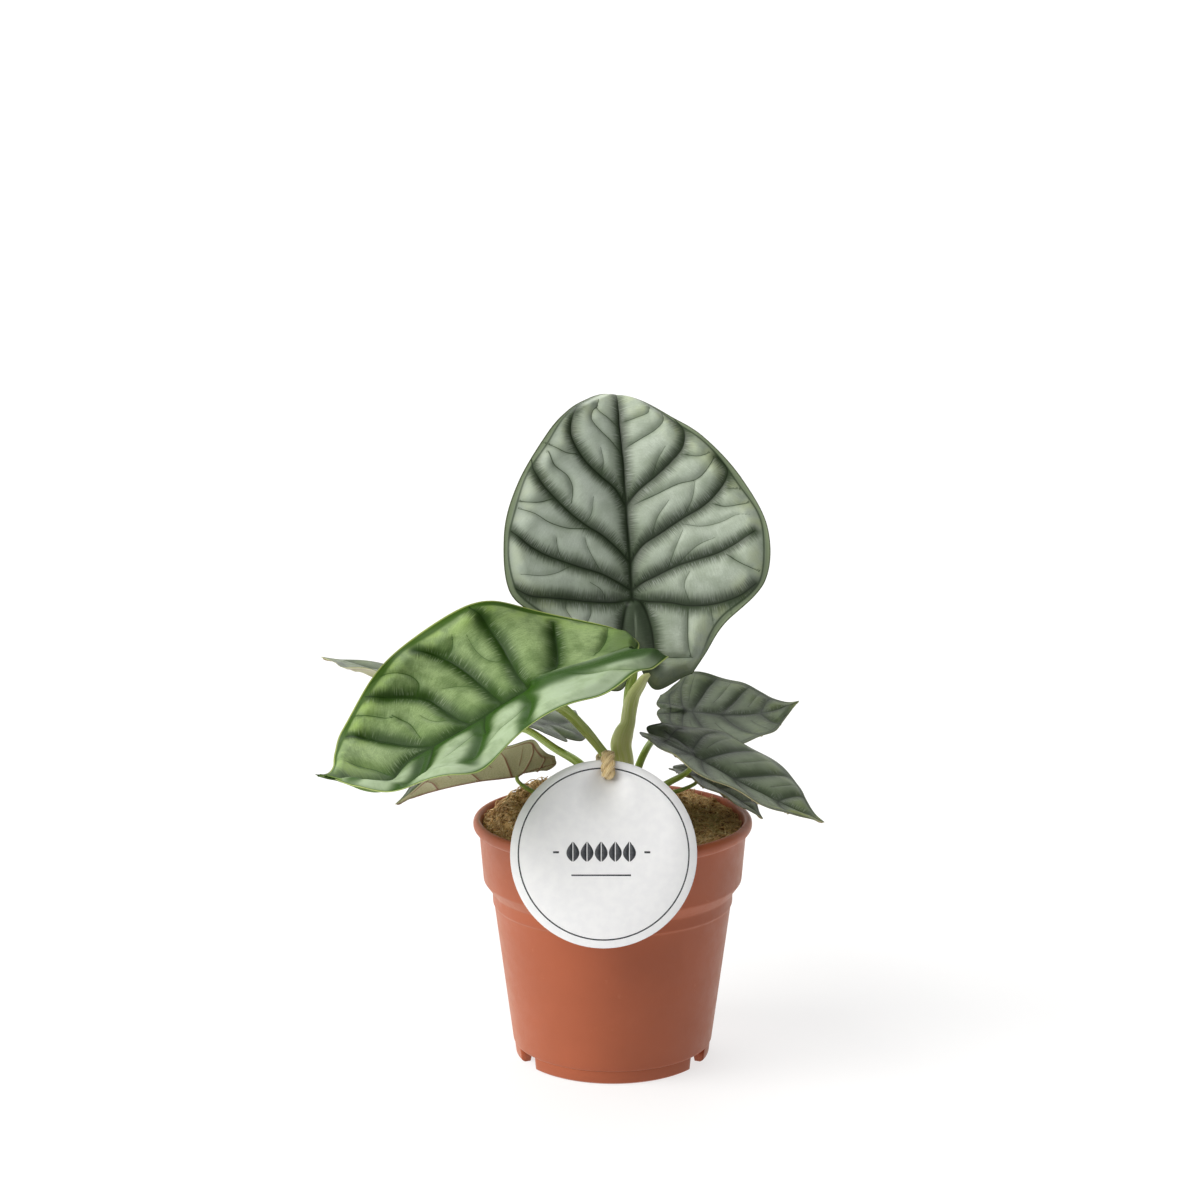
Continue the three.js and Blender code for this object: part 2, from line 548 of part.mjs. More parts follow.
const plant = new THREE.Group();
const holes = PETIOLES.map((petiole) => stemHole(stemKnots(petiole), 8, 16));
holes.push(stemHole(SHEATH, 12, 26));
plant.add(named("pot", pot(), POT_PLASTIC));
plant.add(named("soil", soil(holes), SOIL_COIR));
plant.add(named("main_shoot", mainShoot(), STEM_GREEN));
for (const leaf of LEAVES) {
  plant.add(named(leaf.name, blade(leaf), LEAF_FINISH[leaf.name] ?? LEAF_DARK));
}
for (const petiole of PETIOLES) {
  plant.add(named(petiole.name, stemTube(stemKnots(petiole), 8, 16), STEM_GREEN));
}
plant.add(named("tag_card", tagCard(), TAG_CARD));
plant.add(named("tag_twine", tagTwine(), TWINE_JUTE));

// The origin is the middle of the footprint, at the height that the pot stands on.
const box = new THREE.Box3().setFromObject(plant, true);
plant.position.set(-(box.min.x + box.max.x) / 2, -(box.min.y + box.max.y) / 2, -box.min.z);

const model = new THREE.Group();
model.name = "potted_silver_dragon_alocasia";
model.add(plant);
export default model;
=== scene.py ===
"""A silver dragon alocasia in its nursery pot, with a round card tag on jute twine."""

import math

import bmesh
import bpy
import numpy as np
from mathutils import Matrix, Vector


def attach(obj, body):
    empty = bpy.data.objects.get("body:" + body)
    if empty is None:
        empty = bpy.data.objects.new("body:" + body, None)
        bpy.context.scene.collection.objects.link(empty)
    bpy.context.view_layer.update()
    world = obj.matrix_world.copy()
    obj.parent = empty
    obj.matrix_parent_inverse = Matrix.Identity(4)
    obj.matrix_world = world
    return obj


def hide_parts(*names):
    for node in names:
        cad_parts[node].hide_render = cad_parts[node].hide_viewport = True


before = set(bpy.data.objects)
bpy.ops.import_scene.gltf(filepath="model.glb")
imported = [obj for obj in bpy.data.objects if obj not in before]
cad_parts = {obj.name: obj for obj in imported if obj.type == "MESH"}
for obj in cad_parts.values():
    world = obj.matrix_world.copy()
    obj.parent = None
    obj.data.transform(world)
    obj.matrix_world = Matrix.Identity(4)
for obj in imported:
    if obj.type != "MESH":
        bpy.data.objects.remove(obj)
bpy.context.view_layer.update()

# Lengths below are millimetres about the pot's axis, which stands here in the part's frame
MM = 0.001
POT_AXIS = np.array([23.092, -12.742, 0.0])

# Camera of the photograph
CAMERA_PLACE = (-5.46, -900.0, 348.2)
CAMERA_DOWN = 9.40
CAMERA_LENS = 64.6
SENSOR = 36.0

# Driving dimensions of the pot
RIM_RADIUS = 60.0
POT_HEIGHT = 105.2
SHOULDER = 78.2
FOOT_RADIUS = 41.0
FLOOR_UNDER = 6.5
FLOOR_TOP = 8.0
NOTCHES = (-31.0, 90.0, 211.0)
NOTCH_HALF = 8.1
DRAIN_RADIUS = 3.5
DRAIN_CIRCLE = 26.0
FLOOR_CELLS_RADIUS = 37.0
POT_STEPS = 192
FOOT_STEPS = 60
FLOOR_CELLS = 6

# Driving dimensions of the soil. The mound is its place, height and spread, and the brim's
# dip its place, depth and two spreads
SOIL_STEPS = 260
SOIL_RINGS = 105
SOIL_EDGE = 102.5
SOIL_TILT = 0.03
SOIL_RADIUS = 55.8
LOOSE_RADIUS = 54.8
FIBRE_RADIUS = 55.2
MOUND = (-16.0, 16.0, 12.0, 24.0)
BRIM = 103.3
BRIM_DIP = (54.0, -4.0, 3.2, 14.0, 26.0)
LUMPS_DRAWN = 70
LUMP_SPREAD = 4.6
# Loose fibres, the twine's fuzz too, have this many sides
HAIR_SIDES = 3
FIBRE_RINGS = 7

# Driving dimensions of the tag
TAG_RADIUS = 37.7
TAG_THICKNESS = 0.7
TAG_LEAN = 16.0
TAG_CENTRE = np.array([-4.0, -60.3, 105.5])
TAG_HOLE = (1.8, 32.7)
TAG_HOLE_RADIUS = 2.9
TAG_SIDES = 256
RING_SIDES = 240
PRINT_STEPS = 40
RING_RADIUS = 34.1
RING_WIDTH = 0.55
# The ink's sheet starts inside the card, so that no gap shows, and ends this far off its face
INK_SUNK = 0.05
INK_PROUD = 0.04
# The print's dashes and bar: left, right, low and high
PRINT_BARS = [(-20.4, -18.0, 0.2, 1.0), (16.4, 18.8, 0.2, 1.0), (-13, 11, -8.9, -8.3)]

# Rows of half a leaf, from the tip to the cleft, in thousandths of its length: how far up the
# midrib a row starts, the point that bends it (across, along), its end on the margin
ROWS = [
    [1000, 0, 1000, 0, 1000],
    [930, 25, 932, 45, 928],
    [810, 60, 830, 105, 868],
    [680, 140, 730, 205, 790],
    [460, 250, 600, 350, 690],
    [200, 330, 410, 520, 510],
    [40, 330, 160, 610, 270],
    [-10, 300, -70, 590, 20],
    [-150, 250, -190, 440, -170],
    [-320, 150, -350, 280, -340],
    [-450, 50, -570, 190, -510],
]
LAST_ROW = len(ROWS) - 1
# Points on the margin and up the cleft, and pieces of a line that bends
EDGE_STEPS = 160
CLEFT_STEPS = 12
BEND_STEPS = 24
# Rows from one wave of the margin to the next
WAVE_ROWS = 2.2
# Where no vein is near, in widths of a vein, and the most that a material is told
FAR_OFF = 9.0
LINE_CAP = 6.0
# Half a blade's thickness at its margin and how much thicker it is inside
MARGIN_HALF = 0.16
INNER_HALF = 0.2

# Rows of the two large leaves that differ from the pattern, by row number
UPRIGHT_LEFT = {
    1: [965, 20, 980, 50, 980],
    2: [800, 90, 860, 150, 907],
    3: [680, 170, 750, 250, 838],
    4: [460, 260, 600, 370, 720],
    8: [-120, 250, -190, 410, -140],
    9: [-220, 150, -330, 270, -380],
    10: [-300, 40, -520, 130, -620],
}
UPRIGHT_RIGHT = {
    1: [965, 20, 970, 45, 972],
    2: [800, 90, 845, 140, 886],
    3: [680, 170, 740, 225, 813],
    4: [460, 260, 600, 360, 700],
    5: [200, 330, 410, 515, 505],
    7: [-10, 300, -70, 580, 35],
    8: [-120, 250, -190, 390, -170],
    9: [-220, 160, -340, 300, -330],
    10: [-300, 75, -570, 160, -580],
}
FRONT_LEFT = {
    1: [930, 12, 935, 22, 935],
    2: [800, 90, 845, 145, 895],
    3: [680, 170, 740, 240, 835],
    4: [470, 260, 600, 370, 720],
    5: [210, 330, 410, 520, 510],
    6: [40, 240, 100, 420, 250],
    7: [-10, 250, -70, 430, -30],
    8: [-150, 230, -190, 380, -170],
    9: [-320, 120, -350, 245, -345],
    10: [-420, 30, -480, 60, -525],
}
FRONT_RIGHT = {
    1: [930, 12, 935, 22, 935],
    2: [800, 70, 830, 100, 870],
    3: [680, 150, 740, 200, 820],
    4: [490, 240, 620, 350, 720],
    5: [300, 330, 410, 520, 510],
    6: [130, 330, 160, 610, 270],
    7: [0, 320, -70, 600, 0],
    8: [-150, 270, -190, 485, -170],
    9: [-300, 140, -360, 290, -360],
    10: [-420, 50, -455, 110, -455],
}

# Veins of a half leaf: their kind, then points, across and along, in thousandths of the length
UPRIGHT_VEINS_LEFT = [
    ("rib", 0, 0, 27, -30, 54, -122, 70, -210),
    ("strip", 0, -50, 10, -120, 15, -300),
    ("main", 0, -12, 83, -22, 191, -20, 282, -11, 371, -4, 461, 6, 520, 35),
    ("main", 0, 30, 57, 63, 131, 100, 230, 129, 318, 157, 409, 193, 475, 234, 530, 280),
    ("main", 0, 150, 46, 207, 117, 272, 189, 315, 258, 369, 326, 438, 379, 500, 415, 560, 420, 600),
    ("main", 0, 400, 47, 484, 110, 537, 172, 598, 212, 656, 235, 717, 227, 783, 195, 850),
    ("side", 0, 630, 50, 693, 103, 743, 137, 790, 127, 832, 100, 860),
    ("side", 0, 760, 51, 801, 103, 844, 95, 890),
    ("side", 217, 628, 272, 634, 324, 659, 362, 677),
    ("side", 346, 631, 328, 580, 267, 528, 248, 476, 256, 413),
    ("side", 338, 430, 407, 413, 491, 419),
    ("side", 191, 298, 282, 300, 361, 324, 421, 361, 490, 385),
    ("fine", 276, 132, 350, 97, 414, 87, 503, 94),
    ("fine", 300, 150, 330, 200, 340, 260),
    ("fine", 130, 100, 170, 160, 200, 220, 210, 270),
    ("fine", 200, 310, 170, 370, 160, 440),
    ("fine", 110, 540, 100, 600, 110, 660),
    ("fine", 120, -20, 150, 30, 200, 60),
    ("fine", 300, -10, 310, -50, 280, -100),
    ("fine", 200, -20, 200, -70, 240, -130),
]
UPRIGHT_VEINS_RIGHT = [
    ("rib", 0, 0, 40, -30, 75, -127, 85, -214, 90, -300),
    ("strip", 10, -40, 30, -120, 36, -200, 40, -300),
    # Painted shade on the lower lobe, which turns down and away from the light
    ("shade", 50, -440, 120, -400, 200, -360),
    ("main", 0, -10, 82, -23, 169, -32, 236, -47, 322, -50, 392, -40, 474, -14, 540, 30),
    ("main", 0, 30, 53, 63, 114, 89, 205, 127, 295, 150, 382, 171, 464, 206, 550, 255),
    ("main", 0, 150, 61, 227, 146, 279, 236, 334, 329, 383, 392, 434, 443, 501, 453, 547, 415, 600),
    ("main", 0, 410, 61, 475, 145, 538, 215, 598, 268, 657, 280, 724, 240, 800),
    ("side", 0, 660, 77, 700, 151, 739, 191, 778, 190, 820),
    ("side", 0, 790, 87, 810, 134, 830, 137, 860),
    ("side", 40, 410, 138, 450, 231, 488, 320, 508, 376, 561, 400, 600),
    ("side", 264, 621, 336, 607, 388, 622),
    ("side", 381, 392, 434, 377, 503, 382, 548, 390),
    ("fine", 243, 309, 320, 293, 411, 307, 482, 334, 534, 330),
    ("side", 427, 156, 483, 117, 555, 81),
    ("fine", 446, 459, 518, 452),
    ("side", 240, -58, 235, -134, 234, -210, 245, -261),
    ("side", 90, -250, 159, -262, 250, -262),
    ("fine", 339, -70, 345, -154),
    ("fine", 420, -30, 430, -100),
    ("fine", 160, 110, 200, 200, 240, 280),
    ("fine", 200, 130, 300, 210, 380, 240),
    ("fine", 100, 250, 130, 340, 190, 420),
    ("fine", 250, 350, 290, 420, 310, 500),
    ("fine", 120, 520, 150, 600, 190, 660),
    ("fine", 250, -40, 230, 40, 260, 100),
]
FRONT_VEINS_LEFT = [
    ("band", 0, 50, 45, -80, 70, -250, 70, -450, 50, -620),
    # Painted shade: the groove under the midrib, and a patch by the tip
    ("strip", 0, 40, 10, 200, 12, 380, 0, 550),
    ("strip", 30, 780, 80, 860),
    ("stripe", 0, 20, 50, 30, 129, 37, 250, 100, 360, 150),
    ("stripe", 0, 225, 70, 265, 132, 285, 248, 357, 360, 450),
    ("stripe", 0, 490, 116, 575, 245, 690, 280, 770),
    ("main", 0, 210, 70, 250, 132, 268),
    ("main", 0, 460, 116, 540, 200, 610),
    ("side", 0, 700, 80, 770, 120, 860),
    ("fine", 120, 30, 170, 120, 190, 220, 250, 310),
    ("fine", 100, 300, 150, 400, 200, 500),
    ("side", 80, -160, 170, -250, 240, -400, 200, -550),
]
FRONT_VEINS_RIGHT = [
    ("main", 0, -10, 88, -11, 203, -32, 302, -48, 395, -49, 471, -48, 530, -30),
    ("main", 0, 120, 80, 122, 171, 124, 304, 138, 405, 168, 475, 217, 511, 262),
    ("main", 0, 280, 80, 302, 161, 316, 266, 345, 321, 406, 372, 493, 418, 568),
    ("main", 0, 470, 102, 545, 174, 596, 236, 651, 273, 728),
    ("main", 0, -115, 82, -194, 209, -264, 300, -300),
    # Painted shade: darker over the end of the far lobe
    ("shade", 0, -450, 70, -540, 140, -580),
    ("side", 30, -350, 100, -450, 180, -500),
    ("side", 0, 680, 70, 740, 100, 820),
    ("side", 415, 161, 433, 119, 477, 89),
    ("side", 296, 386, 353, 340, 412, 354, 465, 442, 459, 530),
    ("side", 269, 515, 196, 475, 83, 478),
    ("side", 371, 661, 321, 587, 260, 521),
    ("fine", 200, -30, 260, 30, 350, 50, 440, 40),
    ("fine", 170, 130, 230, 190, 270, 270),
    ("fine", 80, 310, 120, 380, 200, 420),
]

# Kinds of vein: half the dark line's width, reach of its feathered edge, width of its
# groove, depth of the groove and strength of the dark line, in millimetres and shares. The
# painted kinds are broad dark bands of even width, with no feathered edge. The shade kind is
# painted shade, and the strips along the front leaf's midrib are painted shade in its groove
VEIN_KINDS = {
    "rib": (0.8, 6.5, 4.2, 1.0, 1.0),
    "main": (0.55, 6.2, 3.8, 1.0, 1.0),
    "side": (0.45, 3.6, 1.9, 0.5, 0.95),
    "fine": (0.34, 2.6, 1.3, 0.25, 0.75),
    "band": (8.5, 0, 3.0, -0.2, 0.95),
    "strip": (4.8, 0, 3.0, 0.0, 0.92),
    "shade": (8.5, 0, 3.0, 0.0, 0.6),
    "stripe": (4.6, 0, 3.6, 0.8, 0.95),
}
PAINTED = ("band", "strip", "shade", "stripe")

# What a leaf is unless it says otherwise, and the seven leaves, named as their solids. joint is
# where the petiole meets the blade. heading and pitch point the tip, roll turns the blade about
# its midrib and swing turns it in its own plane, in degrees. left and right are the rise from
# midrib to margin, at the midrib and at the margin. droop bends the front, over a length that
# power shortens, and lobe_droop the lobes. wave and crest are the height of the margin's waves
# and the row of a crest. rows and veins are those of its left and right half. fine is the number
# of points from the midrib to a margin and from the tip to the cleft. relief is the height of
# the pillows between the veins. round cuts the lobes' corners, in rows. sway moves the midrib
# sideways: how far, where and over what length, in shares. Each swell raises one half: the
# half, its place across and along, its reach both ways, in shares, and its height.
# For the colours, border is the width of the plain border, dark_border how much wider its
# colour spreads on each half, edge the width of the edge's own colour and rim how dark the vein
# inside the border is. pale is how much each half takes of a silvery tint that also paints sheen
# and the light on a lit half, all over or, with pale_rim, only so many millimetres in from the
# margin. bright_tip is how pale the tip is.
PLAIN_LEAF = dict(
    swing=0, width=(1, 1), droop=0, power=2, rows=({}, {}), veins=None, round=0.4, swells=(),
    sway=(0, 0.5, 1), border=1, dark_border=(1, 1), edge=0.6, rim=0.9, pale_and_sheen=(0, 0),
    pale_rim=None, bright_tip=1)
LEAVES = {
    "leaf_upright": dict(
        PLAIN_LEAF, joint=(8.5, 34, 194.6), heading=97, pitch=69, roll=0, swing=1, length=101.5,
        width=(0.925, 1), lobes=0.8, left=(15, 8), right=(6, 9), droop=62, power=6,
        lobe_droop=34, wave=(1.5, 1.5), crest=(6.2, 6.2), rows=(UPRIGHT_LEFT, UPRIGHT_RIGHT),
        veins=(UPRIGHT_VEINS_LEFT, UPRIGHT_VEINS_RIGHT), fine=(72, 320), relief=3.0,
        round=0.65, border=0.85, pale_and_sheen=(0.5, 0.05), bright_tip=0),
    "leaf_front_left": dict(
        PLAIN_LEAF, joint=(-35.6, -28, 166.5), heading=201, pitch=-30, roll=24, length=99.6,
        width=(0.9, 0.92), lobes=1.32, left=(8, 52), right=(-15, 47), droop=-48,
        lobe_droop=36, wave=(4, 5), crest=(6.5, 7.3), rows=(FRONT_LEFT, FRONT_RIGHT),
        veins=(FRONT_VEINS_LEFT, FRONT_VEINS_RIGHT), fine=(72, 320), relief=3.0, round=0.2,
        sway=(0.14, 0.77, 0.14), border=0.75, dark_border=(1, 1.7), edge=0.7, rim=0.35,
        pale_and_sheen=(0.8, 0), bright_tip=0, swells=(
            (0, 0.02, -0.3, 0.12, 0.2, -3.5), (1, 0.02, -0.3, 0.12, 0.2, -3.5),
            (0, 0.05, -0.68, 0.07, 0.14, 1.5), (0, 0.38, -0.28, 0.16, 0.14, -3.5),
            (0, 0.25, -0.5, 0.1, 0.1, -2.5), (1, 0.12, -0.6, 0.14, 0.15, 3.6))),
    "leaf_right_upper": dict(
        PLAIN_LEAF, joint=(34.1, 53, 139.3), heading=2, pitch=-8, roll=-3, length=51.9,
        width=(1, 1.1), lobes=0.52, left=(16, 25), right=(-20, 10), droop=-40, lobe_droop=4,
        wave=(0.8, 1.2), crest=(4.5, 4.5), fine=(50, 190), relief=1.0),
    "leaf_right_lower": dict(
        PLAIN_LEAF, joint=(34.9, -17, 134.6), heading=-21, pitch=-25.5, roll=6, length=60.5,
        lobes=0.81, left=(20, 3), right=(2, 15), droop=-11, lobe_droop=8, wave=(0.5, 0.9),
        crest=(5.2, 5.2), fine=(50, 190), relief=1.1, pale_and_sheen=(0, 0.9), pale_rim=3.6),
    "leaf_right_small": dict(
        PLAIN_LEAF, joint=(37.1, 11, 118.9), heading=-26, pitch=-20.5, roll=11, length=34.1,
        lobes=0.74, left=(15, 10), right=(0, 16), droop=14, lobe_droop=17, wave=(0.8, 0.8),
        crest=(4.8, 4.8), fine=(32, 130), relief=0.7, pale_and_sheen=(0, 0.5), pale_rim=5.0),
    "leaf_back_left": dict(
        PLAIN_LEAF, joint=(-46.3, 43, 141), heading=152, pitch=9, roll=-12, length=103,
        lobes=0.65, left=(5, 8), right=(10, -8), lobe_droop=24, wave=(1.5, 1.5),
        crest=(5.5, 5.5), fine=(44, 180), relief=1.6),
    "leaf_low_left": dict(
        PLAIN_LEAF, joint=(-40.5, -19, 127.7), heading=200, pitch=-2, roll=-29, length=54.2,
        lobes=0.6, left=(14, 5), right=(35, 13), droop=19, lobe_droop=-10, wave=(1, 1),
        crest=(5, 5), fine=(40, 160), relief=0.9),
}

# The stems. Each follows its points, with the radius last, from the soil up. top is the radius
# under the blade and run how far the last stretch is straight
STEM_SIDES = 28
STEM_STEPS = 110
SHEATH = [
    (4, 4, 92, 4.5), (4.4, 4.4, 112, 4.5), (4.8, 5, 128, 4.3), (3.6, 6.5, 134.8, 4.6),
    (4.9, 8.5, 139.6, 4.2), (6.4, 10, 143, 3.3), (7, 12, 146.8, 3.2), (7.9, 15, 151, 3.2),
    (9.2, 17, 154.6, 2.9), (12.2, 18.3, 159.1, 2.4), (14, 18.5, 161.9, 1.8),
    (16.2, 18.5, 163.4, 0.7),
]
STEMS = {
    "upright": dict(leaf="leaf_upright", top=1.9, run=1.5, points=[
        (6.4, 13, 147, 2), (6.7, 17.5, 152.8, 2), (7.3, 20.5, 156.6, 2), (8.8, 25, 160.5, 2),
        (9.3, 30, 165.5, 2), (9.2, 34.5, 173, 2), (8.8, 37.4, 182, 1.9),
        (8.5, 38.1, 188.5, 1.9)]),
    "front": dict(leaf="leaf_front_left", top=2, run=4, points=[
        (3, 5, 119, 2.2), (-1.6, 4, 128.5, 2.1), (-5.7, 1.5, 134.8, 2),
        (-13.1, -5, 145.3, 2.3), (-22.3, -12, 155.5, 2.3)]),
    "petiole_right_upper": dict(leaf="leaf_right_upper", top=1.2, run=4, points=[
        (9, 13, 94, 1.7), (9.2, 12, 112, 1.7), (11, 11, 123, 1.7), (14.2, 15, 129.8, 1.6),
        (19, 28, 133, 1.5), (26, 42, 133.4, 1.3)]),
    "petiole_right_lower": dict(leaf="leaf_right_lower", top=1.1, run=4, points=[
        (12.6, 0.5, 94, 1.5), (14.2, 0.8, 109, 1.5), (20.4, 0, 117.2, 1.5),
        (25, -3, 121, 1.4), (29, -9, 124.8, 1.3)]),
    "petiole_right_small": dict(leaf="leaf_right_small", top=0.8, run=1.5, points=[
        (15, 7, 94, 1), (16.6, 7, 107.6, 1), (23, 8, 112.4, 0.95), (29.5, 9.8, 113.8, 0.9)]),
    "petiole_back_left": dict(leaf="leaf_back_left", top=1.4, run=4, points=[
        (-5, 11, 94, 2), (-7, 10.5, 113, 1.9), (-12.8, 11, 123.8, 1.9),
        (-25.6, 21.5, 129.9, 1.7), (-37.2, 34.5, 134.6, 1.6)]),
    "petiole_low_left": dict(leaf="leaf_low_left", top=0.8, run=1.5, points=[
        (-12, -6, 94, 1.2), (-14.5, -7, 108, 1.2), (-25, -9.6, 114.4, 1.1),
        (-32.5, -14, 118.6, 1)]),
}

# The twine's loop: x, y, z, half its width and half its depth
TWINE = [
    (-4, 12.5, 130, 0.6, 0.7), (-6.3, 7, 130, 0.6, 0.7), (-6.5, 0, 130, 0.6, 0.7),
    (-5, -8, 131.6, 1.5, 0.9), (-3, -26, 136.4, 2.1, 1), (-2.2, -41, 141.8, 2.3, 1),
    (-2.2, -48.2, 144.2, 2.5, 1.0), (-2.2, -52, 142.9, 2.7, 1.0),
    (-2.2, -53.5, 139.6, 2.75, 1.4), (-2.2, -53.1, 136.9, 2.6, 1.9),
    (-2.2, -51.0, 136.0, 2.5, 1.9), (-2.2, -48.5, 135.9, 2.2, 1.3), (-3, -40, 134.8, 2, 0.9),
    (-4, -24, 132.4, 2, 1), (-5.5, -8, 129.4, 1.5, 0.9), (-6.5, 0, 128.2, 0.6, 0.7),
    (-6.3, 7, 128.2, 0.6, 0.7), (-4, 12.5, 128, 0.6, 0.7),
]
TWINE_STEPS = 420
# The plies: how many, their sides, the length of one turn and how far round each corner lies
PLIES = 3
PLY_SIDES = 10
PLY_TURN = 11.0
PLY_SPIN = np.abs(np.linspace(-np.pi, np.pi, PLY_SIDES, endpoint=False))
KNOT = (-3.8, 13.4, 128.9)
KNOT_STEPS = 120
KNOT_THICK = 0.85
FUZZ_ENDS = 420
FUZZ_RINGS = 4


# Meshes from arrays

def smoothstep(x, low, high):
    """0 below low, 1 above high, and 3t^2 - 2t^3 between them."""
    t = np.clip((x - low) / (high - low), 0, 1)
    return t * t * (3 - 2 * t)


def grid_quads(rows, columns, around=False):
    """Faces that join a grid of points row after row; around joins its last column to its first."""
    i = np.arange(rows - 1)[:, None]
    j = np.arange(columns if around else columns - 1)[None, :]
    a = i * columns + j
    b = i * columns + (j + 1) % columns
    return np.stack([a, b, b + columns, a + columns], -1).reshape(-1, 4)


def mesh_from(name, points, *faces):
    """A mesh from points in millimetres and arrays of faces with equal corners each."""
    mesh = bpy.data.meshes.new(name)
    corners = np.concatenate([f.ravel() for f in faces]).astype(np.int32)
    sizes = np.concatenate([np.full(len(f), f.shape[1]) for f in faces])
    starts = np.concatenate([[0], np.cumsum(sizes)[:-1]]).astype(np.int32)
    mesh.vertices.add(len(points))
    mesh.vertices.foreach_set("co", ((points + POT_AXIS) * MM).astype(np.float32).ravel())
    mesh.loops.add(len(corners))
    mesh.loops.foreach_set("vertex_index", corners)
    mesh.polygons.add(len(sizes))
    mesh.polygons.foreach_set("loop_start", starts)
    mesh.polygons.foreach_set("use_smooth", np.ones(len(sizes), bool))
    mesh.update(calc_edges=True)
    return mesh


def joined(parts):
    """The points of several parts, and their faces counted on from part to part."""
    points, faces, count = [], [], 0
    for own, *sheets in parts:
        points.append(own)
        faces += [sheet + count for sheet in sheets]
        count += len(own)
    return np.concatenate(points), *faces


def at_points(*values):
    """Values for each point of a grid, side by side."""
    return np.stack(np.broadcast_arrays(*values), -1).reshape(-1, len(values))


def give(mesh, name, values):
    """A number, or three, at each vertex of a mesh, for its material."""
    kind, field = ("FLOAT", "value") if values.ndim == 1 else ("FLOAT_VECTOR", "vector")
    layer = mesh.attributes.new(name, kind, "POINT")
    layer.data.foreach_set(field, values.astype(np.float32).ravel())


def give_map(mesh, name, pairs):
    """A UV map from two numbers at each vertex."""
    corners = np.empty(len(mesh.loops), np.int32)
    mesh.loops.foreach_get("vertex_index", corners)
    layer = mesh.uv_layers.new(name=name)
    layer.data.foreach_set("uv", pairs.astype(np.float32)[corners].ravel())


def in_scene(name, data):
    """A new object of the scene."""
    made = bpy.data.objects.new(name, data)
    bpy.context.scene.collection.objects.link(made)
    return made


def add_piece(mesh, material, slot, *nodes):
    """A piece that rides on the part, in place of the solids named."""
    mesh.materials.append(material)
    piece = in_scene(mesh.name, mesh)
    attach(piece, "root")
    if nodes:
        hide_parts(*nodes)


def merge_points(mesh, distance=1e-6):
    """Joins points that lie together, so that a shell is closed, and turns its faces out."""
    work = bmesh.new()
    work.from_mesh(mesh)
    bmesh.ops.remove_doubles(work, verts=work.verts, dist=distance)
    bmesh.ops.recalc_face_normals(work, faces=work.faces)
    work.to_mesh(mesh)
    work.free()


def patchy(x, y, size, seed):
    """Smooth random heights from 0 to 1, with one draw for each square of that size."""
    cells = 64
    draws = np.random.default_rng(seed).random((cells, cells))
    gx, gy = x / size, y / size
    i, j = np.floor(gx).astype(int), np.floor(gy).astype(int)
    s, t = smoothstep(gx - i, 0, 1), smoothstep(gy - j, 0, 1)
    drawn = lambda di, dj: draws[(i + di) % cells, (j + dj) % cells]
    near = drawn(0, 0) * (1 - s) + drawn(1, 0) * s
    far = drawn(0, 1) * (1 - s) + drawn(1, 1) * s
    return near * (1 - t) + far * t


# Smooth lines and tubes

def smooth_line(points, t):
    """Places at t, from 0 to 1, on a centripetal Catmull-Rom line through the points.
    Each stretch is the cubic whose slopes weigh the neighbouring chords by the fourth root
    of their squared lengths."""
    points = np.asarray(points, float)
    padded = np.vstack([2 * points[0] - points[1], points, 2 * points[-1] - points[-2]])
    place = np.clip(np.asarray(t), 0, 1) * (len(points) - 1)
    k = np.clip(np.floor(place).astype(int), 0, len(points) - 2)
    w = (place - k)[..., None]
    a, b, c, d = (padded[k + i] for i in range(4))
    root = lambda p, q: np.maximum(np.sum((q - p) ** 2, -1, keepdims=True) ** 0.25, 1e-4)
    before, here, after = root(a, b), root(b, c), root(c, d)
    leave = here * ((b - a) / before - (c - a) / (before + here) + (c - b) / here)
    reach = here * ((c - b) / here - (d - b) / (here + after) + (d - c) / after)
    curve = -3 * b + 3 * c - 2 * leave - reach
    return b + w * (leave + w * (curve + w * (2 * b - 2 * c + leave + reach)))


def unit(v):
    """Vectors at length 1."""
    return v / np.maximum(np.linalg.norm(v, axis=-1, keepdims=True), 1e-12)


def tube_line(knots, steps, side=(1, 0, 0.01)):
    """A smooth line through knots of x, y, z, half width and half depth: its places, the
    directions across, towards side, and up, the two half sizes, and how far along each is."""
    knots = np.array([k if len(k) == 5 else (*k, k[3]) for k in knots], float)
    t = np.linspace(0, 1, steps + 1)
    centre = smooth_line(knots[:, :3], t)
    wide, deep = smooth_line(knots[:, 3:], t).T
    ahead = unit(np.gradient(centre, axis=0))
    up = unit(np.cross(ahead, side))
    length = np.append(0, np.cumsum(np.linalg.norm(np.diff(centre, axis=0), axis=1)))
    return centre, unit(np.cross(up, ahead)), up, wide, deep, length


def ovals(line, across, up, wide, deep, sides):
    """Ovals of points round the places of a line, from two directions and two half sizes."""
    a = np.linspace(0, 2 * np.pi, sides, endpoint=False)[:, None]
    return (line[..., None, :]
            + across[..., None, :] * (np.asarray(wide)[..., None, None] * np.cos(a))
            + up[..., None, :] * (np.asarray(deep)[..., None, None] * np.sin(a)))


def closed_tubes(rings):
    """Points and faces of closed tubes, from points by tube, ring and corner: the walls, and
    a face over each end."""
    count, steps, sides = rings.shape[:3]
    start = steps * sides * np.arange(count)[:, None, None]
    ends = np.stack([np.arange(sides)[::-1], (steps - 1) * sides + np.arange(sides)])
    wall = grid_quads(steps, sides, around=True)
    return rings.reshape(-1, 3), (wall + start).reshape(-1, 4), (ends + start).reshape(-1, sides)


def closed_ring(rows):
    """Points and faces of a tube that runs back into itself, from points by row and corner."""
    count, sides = rows.shape[:2]
    return rows.reshape(-1, 3), grid_quads(count + 1, sides, around=True) % (count * sides)


# Colours and nodes

def colour(text):
    """A hex sRGB colour as linear red, green, blue and alpha."""
    parts = [int(text[i:i + 2], 16) / 255 for i in (1, 3, 5)]
    line = [p / 12.92 if p <= 0.04045 else ((p + 0.055) / 1.055) ** 2.4 for p in parts]
    return (*line, 1.0)


